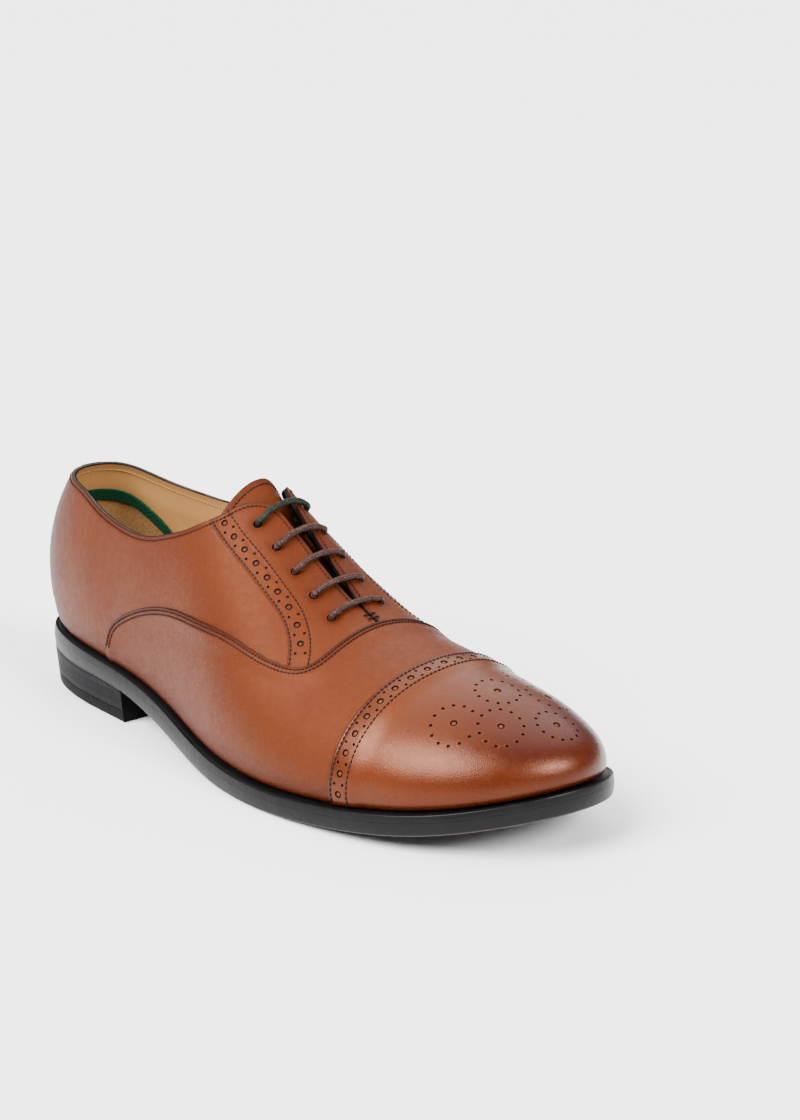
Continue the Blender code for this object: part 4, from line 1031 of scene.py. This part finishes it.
def facing(side, word):
    """The lacing panel: broguing along its outer edge, a rounded gap edge and five lace holes."""
    strip, gap, top, lower = facing_lines(side)
    t_values = np.concatenate([np.array(EDGE_ROWS) / FACING_LENGTH, np.linspace(0.06, 1, 58)])
    width = span(strip(t_values), gap(t_values))
    shares = rows_between(width, EDGE_ROWS, EDGE_ROWS, 1.1)
    angles, wraps = patch(strip, gap, top, lower, shares, t_values)
    base = last_point(angles, wraps)
    from_strip, from_gap = shares * width, (1 - shares) * width
    from_top = np.broadcast_to(t_values * FACING_LENGTH, angles.shape)
    nearest = np.minimum(np.minimum(from_strip, from_gap), from_top)
    outer = STRIP_RISE - rounded(nearest) - 0.1 * ramp(from_gap, 0.4, 3)
    outer = outer + 0.1 * pebbles(base, 12, 5.9) * ramp(-nearest, -9, -3)
    from_rim = np.minimum(from_gap, from_top)
    outer = outer - 0.14 * np.minimum(grooves(from_strip, (0.9, 8.4)) + grooves(from_rim, (2.0,)), 1)
    around = np.zeros(angles.shape)
    for x, wrap in EYELETS[side]:
        away = np.linalg.norm(base - last_point(station(x), wrap * side), axis=-1)
        around = np.maximum(around, 0.5 * ramp(away, 2.0, 6.5))
        outer = outer - 0.35 * ramp(away, 1.6, 3.6)
    shade = np.clip(np.maximum(burnish(angles, wraps), around) + 0.4 * ramp(nearest, 0.2, 4), 0, 1)
    ink_and_painted_shade = CREASE * ramp(from_rim, 0.3, 0.7) + 0.5 * ramp(from_strip, 0.1, 0.4)
    thick = LEATHER_THICK + STRIP_RISE - 0.05 + 0.35 * ramp(np.minimum(from_gap, from_top + 2), 1.5, 5.0)
    piece = panel(f"facing_{word}", angles, wraps, outer, thick,
                  [LEATHER, INK, HOLE, UNDERLAY], {"burnish": shade, "ink_and_painted_shade": np.minimum(ink_and_painted_shade, 1)},
                  nodes=[f"facing_{word}"])
    line = track(strip, 200, 0, 0.97)
    for number, aside in enumerate((0.95, 8.4)):
        stitch_row(f"strip_stitches_{word}_{number + 1}", line.beside(-side * aside, 1.5, 0.5),
                   STRIP_RISE - 0.05, THREAD)
    places, radii = strip_holes(line, side)
    punch(piece, places, radii, level=STRIP_RISE)
    punch(piece, lace_holes(side), [LACE_HOLE] * 5, depth=4, level=STRIP_RISE)


def lace_holes(side):
    return [(float(station(x)), wrap * side) for x, wrap in EYELETS[side]]


def strip_holes(line, side):
    places, radii = [], []
    for k in range(9):
        at = 6.3 + BROGUE_STEP * k
        places.append(line.at(at, -side * BROGUE_CENTRE))
        radii.append(BIG_HOLE)
        for spread in (-PAIR_SPREAD, PAIR_SPREAD):
            places.append(line.at(at + BROGUE_STEP / 2, -side * (BROGUE_CENTRE + spread)))
            radii.append(SMALL_HOLE)
    return places, radii


def topline_stitches(side, word):
    """One side of the opening, from the heel back round the facing's corner and down the gap edge."""
    line = track(seam(TOPLINE[side] + FACING_TOP[side][1:] + GAP_EDGE[:-1], side), 460, 0.005, 0.99)
    row = line.beside(side * 2.0, 0.5, 0)
    rise = (STRIP_RISE - 0.02) * ramp(-station_x(row.places[:, 0]), -121.5, -119)
    stitch_row(f"topline_stitches_{word}", row, lambda at: np.interp(at, row.reach, rise), SEAM_THREAD,
               length=1.2, gap=0.45)
    stitch_row(f"lining_stitches_{word}", line.beside(side * 3.2, 0.5, 1),
               -LEATHER_THICK - LINING_THICK - 0.25, LINING_THREAD, length=1.7, gap=0.7,
               slot=f"quarter_lining_{word}")


def lining_top(depth):
    """The lining lies against the leather along the opening and falls back from it lower down."""
    return -LEATHER_THICK - 0.05 - (LINING_DEPTH - LEATHER_THICK - 0.05) * (1 - ramp(depth, 1, 14))


def quarter_lining(side, word):
    bottom = seam([(x, FOOT_WRAP) for x in (0, 10, 30, 60, 90, 120, 150)], side)
    gap = [(x, wrap + 0.001) for x, wrap in GAP_EDGE[:-1]] + [(190.5, 0.0045)]
    corner = [(x + LINING_CORNER[0], wrap + LINING_CORNER[1]) for x, wrap in FACING_TOP[side][:3]]
    top = seam(TOPLINE[side][:-1] + corner + FACING_TOP[side][3:] + gap, side)
    t_values = np.linspace(0, 1, 150)
    width = span(bottom(t_values), top(t_values))
    shares = rows_between(width, [0, 3], EDGE_ROWS + [5, 6.5, 8, 10], 2.4)
    angles, wraps = patch(bottom, top, *two_ends(bottom, top), shares, t_values)
    angles = np.maximum(angles, 0.0005)
    depth = (1 - shares) * width
    # Painted shade: near the lacing gap the lining's faces take the dark dull ink, standing for the shade in
    # the gap.
    painted_gap_shade = (station_x(angles) > 125) & (np.abs(wraps) < 0.18)
    lowered = ramp(-station_x(angles), -133, -126) * ramp(np.abs(wraps), 0.17, 0.25)
    outer = lining_top(depth) * (1 - lowered) - LINING_DEPTH * lowered
    outer = outer + 0.05 * pebbles(last_point(angles, wraps), 9, 8.8) * ramp(-depth, -9, -4)
    piece = panel(f"quarter_lining_{word}", angles, wraps, outer, LINING_THICK, [LINING, DULL_INK_AND_SHADE, HOLE], {},
                  inked=painted_gap_shade & (depth < 14), nodes=[f"quarter_lining_{word}"])
    punch(piece, lace_holes(side), [LACE_HOLE] * 5, depth=2, level=-1.0)


def vamp_lining():
    wraps = np.linspace(-FOOT_WRAP, FOOT_WRAP, 91)
    rear = station(191.2 - (191.2 - 151.5) * np.abs(wraps) / FOOT_WRAP)
    angles = rear + (math.pi - rear) * np.linspace(0, 1, 50)[:, None]
    wraps = np.broadcast_to(wraps, angles.shape)
    panel("vamp_lining", angles, wraps, -LINING_DEPTH, LINING_THICK, [LINING], {}, folded=True,
          nodes=["vamp_lining"])


def heel_band(name, top, bottom, reach_x, level, thick, looks, columns, rows, fields=None):
    """A piece that wraps the heel from one side to the other between two wraps, functions of x."""
    reach = float(station(reach_x))
    along = np.linspace(-reach, reach, columns)
    x = station_x(along)
    share = np.linspace(0, 1, rows)[:, None]
    depth = top(x) + (bottom(x) - top(x)) * share
    angles = np.broadcast_to(np.abs(along), depth.shape)
    wraps = depth * np.where(along < 0, OUTER, INNER)
    panel(name, angles, wraps, level(angles, wraps, share), thick, looks, fields or {}, nodes=[name])


def heel_grip():
    """The suede patch inside the heel and the green tape woven in a twill along its edge."""
    edge = Spline(GRIP_EDGE)
    inside = -LINING_DEPTH - LINING_THICK

    def nap(angles, wraps, share):
        return inside - 0.05 - 0.12 * (1 + pebbles(last_point(angles, wraps), 3, 6.1)) / 2

    def ribbed(angles, wraps, share):
        return inside - 1.0 - 0.12 * np.sin(share * 7 * math.pi) ** 2

    heel_band("heel_grip", lambda x: edge(x) + 0.012, lambda x: np.full_like(x, 0.955), 56, nap, 0.8, [SUEDE],
              150, 60)
    heel_band("heel_grip_tape", lambda x: edge(x) - 0.015, lambda x: edge(x) + 0.038, 54, ribbed, 0.85,
              [TAPE], 240, 43)


def heel_tab():
    """The small pull over the top of the back seam."""
    reach_x, height = 0.75, 11
    reach = float(station(reach_x))

    def level(angles, wraps, share):
        edge = np.minimum(np.minimum(share, 1 - share) * height, (reach - angles) * 60)
        return 0.5 - rounded(edge, 0.4)

    heel_band("heel_tab", lambda x: np.full_like(x, 0.347), lambda x: np.full_like(x, 0.455), reach_x, level,
              0.45, [LEATHER, INK], 31, 31, {"burnish": 0.75, "ink_and_painted_shade": 0.0})


def tongue_place(t, s):
    """The x, wrap and level of a place on the tongue, from its tip to its base and from side to side."""
    x = TONGUE_TOP_X + (TONGUE_BASE_X - TONGUE_TOP_X) * t - TONGUE_WING * np.abs(s) ** 1.6 * (1 - t) ** 3
    drop = TONGUE_WING_DROP * s**2 + TONGUE_TUCK * (1 - ramp(np.abs(s), *TONGUE_TUCK_ACROSS))
    tip = ramp(t, *TONGUE_TIP_END)
    level = np.interp(t, *zip(*TONGUE_SINK)) - drop * tip
    shoulder = 1 - ramp(np.abs(s), *TONGUE_SHOULDER_ACROSS)
    shoulder = shoulder * (1 - tip) * ramp(t, *TONGUE_SHOULDER_END)
    return x, s * Spline(TONGUE_HALF)(t) / girth(x), level * (1 - shoulder) + TONGUE_SHOULDER * shoulder


def tongue():
    """Leather outside, lining inside, and a row of stitches near the rim that joins them."""
    t, s = np.meshgrid(np.linspace(0, 1, 70) ** 1.4, np.linspace(-1, 1, 61), indexing="ij")
    s = np.sign(s) * np.abs(s) ** 0.8
    x, wraps, level = tongue_place(t, s)
    angles = station(x)
    edge = np.minimum((1 - np.abs(s)) * 32, t * 66)
    outer = level - rounded(edge, 0.5) - 0.14 * grooves(edge, (2.2,))
    outer = outer + 0.15 * pebbles(last_point(angles, wraps), 10, 9.3) * ramp(-edge, -6, -2)
    shade = 0.1 + 0.45 * ramp(edge, 0.3, 3)
    # Painted shade: the tongue is darkened to near black where it lies under the lacing gap, in the shade
    # between the facings.
    under_facing = ramp(-x, -141, -134) * ramp(np.abs(wraps), 0.07, 0.12)
    ink_and_painted_shade = np.maximum(0.8 * ramp(edge, 0.2, 0.6), under_facing)
    panel("tongue", angles, wraps, outer, 1.2, [LEATHER, INK], {"burnish": shade, "ink_and_painted_shade": ink_and_painted_shade},
          body="tongue", nodes=["tongue"])
    panel("tongue_lining", angles, wraps, level - 1.25, 0.8, [LINING], {}, body="tongue",
          nodes=["tongue_lining"])
    inset = 1 - 2.2 / 36
    rim_s = np.concatenate([np.full(30, -inset), np.linspace(-inset, inset, 80), np.full(30, inset)])
    rim_t = np.concatenate([np.linspace(0.4, 0.034, 30), np.full(80, 0.034), np.linspace(0.034, 0.4, 30)])
    x, wraps, level = tongue_place(rim_t, rim_s)
    line = Track(np.stack([station(x), wraps], -1))
    stitch_row("tongue_stitches", line, lambda at: np.interp(at, line.reach, level) - 0.02, SEAM_THREAD,
               body="tongue", slot="tongue")


# ---- the laces ----

def bend(x, wrap, towards, out_level, steps=5):
    """Points of the lace turning from the surface's normal to a direction along the surface."""
    angle = float(station(x))
    centre, out = last_point(angle, wrap), last_normal(angle, wrap)
    flat = towards - out * towards.dot(out)
    flat /= np.linalg.norm(flat)
    up = 1.0 if out_level > 0 else -1.0
    start = out_level - up * BEND_RADIUS
    turns = [math.pi / 2 * k / steps for k in range(steps + 1)]
    return [centre + out * (start + up * BEND_RADIUS * math.sin(turn))
            + flat * BEND_RADIUS * (1 - math.cos(turn)) for turn in turns]


def lace_bar(index, from_side, sag=0.0):
    """One bar: up through an eyelet, across over the gap and down through its partner."""
    x, wrap = EYELETS[from_side][index]
    last_x, last_wrap = EYELETS[-from_side][index]
    first, last = wrap * from_side, -last_wrap * from_side
    start, end = last_point(station(x), first), last_point(station(last_x), last)
    over = []
    for share in np.linspace(0.2, 0.8, 7):
        angle, where = station(x + (last_x - x) * share), first + (last - first) * share
        rise = LACE_OVER + 0.1 * math.sin(share * math.pi)
        point = last_point(angle, where) + last_normal(angle, where) * rise
        over.append(point + np.array([sag * math.sin(share * math.pi), 0, 0]))
    return bend(x, first, end - start, LACE_OVER) + over + bend(last_x, last, start - end, LACE_OVER)[::-1]


def lace_run(index, to_index, side):
    """The hidden stretch under the lining between two eyelets of one side."""
    (x, wrap), (to_x, to_wrap) = EYELETS[side][index], EYELETS[side][to_index]
    start, end = last_point(station(x), wrap * side), last_point(station(to_x), to_wrap * side)
    middle = station((x + to_x) / 2), (wrap + to_wrap) / 2 * side
    under = last_point(*middle) + last_normal(*middle) * LACE_UNDER
    first = bend(x, wrap * side, end - start, LACE_UNDER)
    return first + [under] + bend(to_x, to_wrap * side, start - end, LACE_UNDER)[::-1]


def lace_tail(index, side):
    """A hidden end: down through an eyelet and out sideways under the lining."""
    x, wrap = EYELETS[side][index]
    angle = float(station(x))
    away = last_point(angle, (wrap + 0.05) * side) - last_point(angle, wrap * side)
    points = bend(x, wrap * side, away, LACE_UNDER)
    for extra in (0.05, 0.09):
        where = (wrap + extra) * side
        points.append(last_point(angle, where) + last_normal(angle, where) * LACE_UNDER)
    return points


def smooth_path(route, step):
    """Even points along a smooth curve through a route."""
    route = np.array(route)
    keep = np.concatenate([[True], np.linalg.norm(np.diff(route, axis=0), axis=1) > 0.3])
    route = route[keep]
    reach = reach_along(route)
    lines = [Spline(list(zip(reach, route[:, k]))) for k in range(3)]
    return np.stack([line(np.arange(0, reach[-1], step)) for line in lines], -1)


def lace(name, route, look):
    """A round lace with its braid as geometry: two sets of strands that cross over and under."""
    path = smooth_path(route, LACE_STEP)
    tangent = unit(np.gradient(path, axis=0))
    side = [np.cross(tangent[0], [0, 0, 1.0])]
    for direction in tangent[1:]:
        side.append(side[-1] - direction * side[-1].dot(direction))
    side = unit(np.array(side))
    up = np.cross(tangent, side)
    sides = 20
    turns = np.arange(sides) * 2 * math.pi / sides
    run = np.arange(len(path))[:, None] * LACE_STEP
    weave = np.sin(4 * turns + run * 2.6) * np.sin(4 * turns - run * 2.6)
    lumps = np.array([noise.noise(Vector((r * 0.22, 3.3, 0.7))) for r in run[:, 0]])[:, None]
    radius = LACE_RADIUS - 0.08 + 0.15 * weave + 0.07 * lumps
    around = side[:, None] * np.cos(turns)[:, None] + up[:, None] * np.sin(turns)[:, None]
    points = path[:, None] + radius[..., None] * around
    faces = grid_quads(len(path), sides, wrap_columns=True).tolist()
    faces.append(list(range(sides))[::-1])
    faces.append([(len(path) - 1) * sides + k for k in range(sides)])
    add_mesh(name, points, faces, [look], fields={"strand": 0.5 + 0.5 * weave}, nodes=[name], sharp=None,
             weld=False)


def laces():
    """One brown lace zigzags through the lower four pairs; a green one crosses the top pair."""
    sags = {1: 0.5, 2: -0.3, 3: 0.4, 4: -0.5}
    brown = lace_tail(4, OUTER)[::-1]
    side = OUTER
    for index in (4, 3, 2, 1):
        brown += lace_bar(index, side, sags[index])
        side = -side
        if index > 1:
            brown += lace_run(index, index - 1, side)
    brown += lace_tail(1, side)
    lace("lace_brown", brown, BROWN_LACE)
    lace("lace_green", lace_tail(0, OUTER)[::-1] + lace_bar(0, OUTER, 0.4) + lace_tail(0, INNER), GREEN_LACE)


def bar_tack():
    """Thread wound over the foot of the slit: stitches along it and two bars across."""
    ridge = Track(np.stack([station(np.linspace(183.5, 190.4, 30)), np.full(30, 0.0)], -1))
    piece = stitch_row("bar_tack", ridge, STRIP_RISE + 0.15, THREAD, length=1.3, gap=0.25, radius=0.38)
    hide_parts("bar_tack")
    for number, x in enumerate((186.0, 188.2), 1):
        wraps = np.linspace(-3.0, 3.0, 20) / girth(x)
        line = Track(np.stack([np.full(20, float(station(x))), wraps], -1))
        stitch_row(f"bar_tack_cross_{number}", line, STRIP_RISE + 0.35, THREAD, length=2.6, gap=0.3,
                   radius=0.36)


# ---- the bottom ----

def profile_ring(name, profile, looks, face_looks, angles):
    """A closed strip round the outline with a profile of (inset, height over x) points."""
    points = []
    for inset, height in profile:
        edge, _ = outline(angles, np.full(angles.shape, float(inset)))
        points.append(np.column_stack([edge, height(edge[:, 0])]))
    points = np.stack(points)
    rows, columns = len(profile), len(angles)
    quads = grid_quads(rows, columns, wrap_columns=True)
    closing = grid_quads(2, columns, wrap_columns=True)
    closing = np.where(closing >= columns, closing - columns, closing + (rows - 1) * columns)
    which = np.repeat(np.append(face_looks, face_looks[-1]), columns)
    add_mesh(name, points.reshape(-1, 3), np.concatenate([quads, closing]), looks, nodes=[name],
             face_looks=which, sharp=50)


def welt_top(x):
    """The height of the ledge the upper stands on, a little below the feather line."""
    return feather(x) - 0.6


def edge_heights(share):
    """A height between the outsole's underside and the welt's top."""
    return lambda x: underside(x) + (welt_top(x) - underside(x)) * share


def sole():
    """The welt's ledge with its fudged rim, and the convex sole edge with its bare lower rim."""
    angles = np.linspace(0, 2 * math.pi, 420, endpoint=False)

    def bulge(share):
        return 0.55 * abs(2 * share - 1) ** 2.2

    def over(lift):
        return lambda x: welt_top(x) + lift

    top = [(9, over(0)), (3.2, over(0)), (2.0, over(-0.05)), (1.55, over(-0.35)), (1.15, over(-0.05)),
           (0.85, over(0.08)), (0.6, over(0.0)), (0.42, over(-0.3))]
    side = [(bulge(share), edge_heights(share)) for share in np.linspace(0.92, WELT_BOTTOM + 0.01, 6)]
    profile_ring("welt", top + side + [(9, edge_heights(WELT_BOTTOM + 0.01))], [WELT_TOP, SOLE_EDGE],
                 [0] * 6 + [1] * 8, angles)
    side = [(bulge(share), edge_heights(share)) for share in np.linspace(WELT_BOTTOM, 0.1, 10)]
    rim = [(0.42, edge_heights(0.06)), (0.62, edge_heights(0.02)), (1.0, underside)]
    outsole_mesh([(9, edge_heights(WELT_BOTTOM))] + side + rim, angles)


def end_faces(start, columns, flip=False):
    """Faces straight across a closed ring whose second half mirrors its first."""
    faces = []
    for k in range(1, columns // 2):
        quad = [start + k - 1, start + k, start + columns - k, start + (columns - k + 1) % columns]
        faces.append(list(dict.fromkeys(quad[::-1] if flip else quad)))
    middle = start + columns // 2
    return faces + [[middle - 1, middle, middle + 1]]


def outsole_mesh(profile, angles):
    """The outsole: its edge profile, closed across the shoe above and below."""
    rings = []
    over_heel = station_x(angles) < BREAST_X
    for inset, height in profile:
        insets = np.where(over_heel & (inset < 2), min(inset, 0.3), float(inset))
        edge, _ = outline(angles, insets)
        rings.append(np.column_stack([edge, height(edge[:, 0])]))
    columns = len(angles)
    faces = grid_quads(len(rings), columns, wrap_columns=True).tolist()
    looks = [1] * (columns * (len(rings) - 1))
    looks[-2 * columns:] = np.where(over_heel, 1, 2).tolist() * 2
    last = (len(rings) - 1) * columns
    for start, look in ((0, 1), (last, 0)):
        across = end_faces(start, columns, flip=not start)
        faces += across
        looks += [look] * len(across)
    add_mesh("outsole", np.concatenate(rings), faces, [SOLE_UNDER, SOLE_EDGE, RIM_BROWN], nodes=["outsole"],
             face_looks=looks, sharp=50)


def heel_inset(z):
    """How far the heel's side stands in from the outline at a height: it tapers downwards."""
    return 0.2 + 1.8 * (1 - z / HEEL_HEIGHT)


def heel_block(name, levels, look, nodes):
    """A layer of the heel: rings round the outline and across the straight breast."""
    steps, breast_steps = 70, 14
    top_angle = float(station(BREAST_X))
    rings = []
    for inset, height in levels:
        edge, _ = outline(np.linspace(-top_angle, top_angle, steps), np.full(steps, float(inset)))
        edge = edge[::-1]
        edge[:, 0] = np.minimum(edge[:, 0], BREAST_X - max(0, inset - 2.0))
        first, last = edge[-1], edge[0]
        across = first + (last - first) * np.linspace(0, 1, breast_steps + 2)[1:-1, None]
        ring = np.concatenate([edge, across])
        z = height(ring[:, 0]) if callable(height) else np.full(len(ring), height)
        rings.append(np.column_stack([ring, z]))
    columns = steps + breast_steps
    faces = grid_quads(len(rings), columns, wrap_columns=True).tolist()
    for start in (0, (len(rings) - 1) * columns):
        for k in range(steps // 2 - 1):
            faces.append([start + k, start + k + 1, start + steps - 2 - k, start + steps - 1 - k])
        faces.append([start + k for k in [steps - 1] + list(range(steps, columns)) + [0]])
    return add_mesh(name, np.concatenate(rings), faces, [look], nodes=nodes, sharp=35)


def heel():
    """The stacked lifts as one smooth inked block, with a rubber top piece below a fine line."""
    low = [(heel_inset(0) + 0.5, 0.0), (heel_inset(0) + 0.12, 0.35), (heel_inset(1), 1.0),
           (heel_inset(4.6), 4.6), (heel_inset(5) + 0.2, 5.05)]
    stack = [(heel_inset(5) + 0.22, 5.15), (heel_inset(6), 5.6)]
    for z in (8.85, 12.35):
        stack += [(heel_inset(z), z - 0.12), (heel_inset(z) + 0.012, z), (heel_inset(z), z + 0.12)]
    stack += [(heel_inset(13.2), 13.2), (0.25, lambda x: underside(x) - 0.5),
              (0.42, lambda x: underside(x) - 0.12)]
    nail_holes(heel_block("heel_top_piece", low, RUBBER, ["heel_top_piece"]))
    nail_holes(heel_block("heel_stack", stack, HEEL_BLACK, ["heel_lift_1", "heel_lift_2", "heel_rand"]))


NAIL_PLACES = [(16, 0), (30, 19), (30, -19), (56, 20), (56, -20)]


def nail_holes(piece):
    """Room for the nails, cut straight up from below."""
    body = bmesh.new()
    for x, y in NAIL_PLACES:
        place = Matrix.Translation(Vector((np.array([x, y, NAIL_HOLE_MIDDLE]) + ORIGIN) * MM))
        bmesh.ops.create_cone(body, cap_ends=True, segments=24, radius1=NAIL_HOLE * MM,
                              radius2=NAIL_HOLE * MM, depth=NAIL_HOLE_DEPTH * MM, matrix=place)
    cut_out(piece, object_of("drill", body), 35)


def sock_lining():
    """The leather sock the foot stands on."""
    angles = np.linspace(0, 2 * math.pi, 240, endpoint=False)
    x = station_x(angles)
    rings = []
    for extra, lift in ((0.0, 2.85), (0.0, 3.3), (0.25, 3.55), (0.8, 3.6), (5, 3.6), (14, 3.62)):
        edge, _ = outline(angles, ledge(x) + 4.4 + extra)
        rings.append(np.column_stack([edge, welt_top(edge[:, 0]) + lift]))
    columns = len(angles)
    faces = grid_quads(len(rings), columns, wrap_columns=True).tolist()
    for start in (0, (len(rings) - 1) * columns):
        faces += end_faces(start, columns)
    add_mesh("sock_lining", np.concatenate(rings), faces, [LINING], nodes=["sock_lining"], sharp=50)


# ---- carried-over pieces, stage, light and camera ----

def dress_hidden_pieces():
    """Materials for the CAD pieces that stay as they are, inside the shoe and under the heel."""
    board = plain_stuff("insole_board", (0.30, 0.19, 0.10), (0.22, 0.13, 0.065), 0.9, 0.85)
    cork = plain_stuff("cork", (0.30, 0.16, 0.075), (0.10, 0.045, 0.02), 0.5, 0.9, depth=0.5)
    felt = plain_stuff("felt", (0.42, 0.37, 0.30), (0.30, 0.26, 0.20), 1.2, 0.95, depth=0.3)
    steel = plain_stuff("shank_steel", (0.50, 0.50, 0.52), (0.36, 0.36, 0.38), 1.5, 0.35, metallic=1.0,
                        depth=0.05)
    brass = plain_stuff("brass", (0.62, 0.42, 0.16), (0.42, 0.27, 0.10), 1.0, 0.32, metallic=1.0, depth=0.05)
    looks = {"insole_board": board, "cork_filler": cork, "heel_seat_filler": felt, "toe_puff": felt,
             "heel_counter": felt, "shank": steel}
    for name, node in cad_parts.items():
        if name.startswith(("eyelet_", "heel_nail_")):
            looks[name] = brass
        if name in looks:
            node.data.materials.clear()
            node.data.materials.append(looks[name])


def stage():
    """A pale, flat floor, just below the shoe."""
    look = Look("paper", roughness=0.9, specular=0.1)
    look.color(look.mix(look.noise(0.004, 2), (0.84, 0.84, 0.84), (0.86, 0.86, 0.86)))
    look.bump(look.noise(0.5, 2), 0.02, 0.1)
    body = bmesh.new()
    bmesh.ops.create_circle(body, cap_ends=True, segments=96, radius=40.0)
    for vertex in body.verts:
        vertex.co.z = -0.0002
    floor = object_of("floor", body)
    floor.data.materials.append(look.material)


def direction(azimuth, elevation):
    """A unit vector from two angles in degrees. Azimuth 0 is the outer side and 90 the toe."""
    azimuth, elevation = math.radians(azimuth), math.radians(elevation)
    return np.array([math.sin(azimuth) * math.cos(elevation), -math.cos(azimuth) * math.cos(elevation),
                     math.sin(elevation)])


def camera_axes():
    back = direction(CAMERA_AZIMUTH, CAMERA_ELEVATION)
    roll = math.radians(CAMERA_ROLL)
    right = np.cross(-back, [0, 0, 1.0])
    right /= np.linalg.norm(right)
    up = np.cross(right, -back)
    return right * math.cos(roll) + up * math.sin(roll), up * math.cos(roll) - right * math.sin(roll), back


def camera():
    right, up, back = camera_axes()
    data = bpy.data.cameras.new("camera")
    data.lens = CAMERA_LENS
    data.shift_x, data.shift_y = CAMERA_SHIFT
    data.clip_end = 100
    view = placed("camera", data)
    place = (np.array(CAMERA_TARGET) + ORIGIN + back * CAMERA_DISTANCE) * MM
    turn = Matrix((right, up, back)).transposed().to_4x4()
    view.matrix_world = Matrix.Translation(Vector(place)) @ turn
    bpy.context.scene.camera = view


def soft_sun(name, azimuth, elevation, power, width):
    """A far softbox, seen from the shoe as a disc so many degrees wide."""
    data = bpy.data.lights.new(name, "SUN")
    data.energy = power
    data.angle = math.radians(width)
    lamp = placed(name, data)
    lamp.rotation_euler = Vector(-direction(azimuth, elevation)).to_track_quat("-Z", "Y").to_euler()


def lights():
    """A pale studio: softboxes on the outer side, before the toe and behind, and a bright room."""
    world = bpy.data.worlds.new("studio")
    world.use_nodes = True
    background = world.node_tree.nodes["Background"]
    background.inputs["Color"].default_value = (1.0, 1.0, 1.0, 1)
    background.inputs["Strength"].default_value = 0.4
    bpy.context.scene.world = world
    soft_sun("outer_side", -8, 46, 11.5, 42)
    soft_sun("toe_side", 94, 36, 6.0, 24)
    soft_sun("behind", -135, 60, 3.0, 70)


def main():
    sole()
    heel()
    sock_lining()
    vamp_lining()
    for side, word in SIDE_NAMES:
        quarter_lining(side, word)
        quarter(side, word)
        facing(side, word)
        topline_stitches(side, word)
    vamp()
    toe_cap()
    heel_grip()
    heel_tab()
    tongue()
    laces()
    bar_tack()
    dress_hidden_pieces()
    stage()
    camera()
    lights()


main()
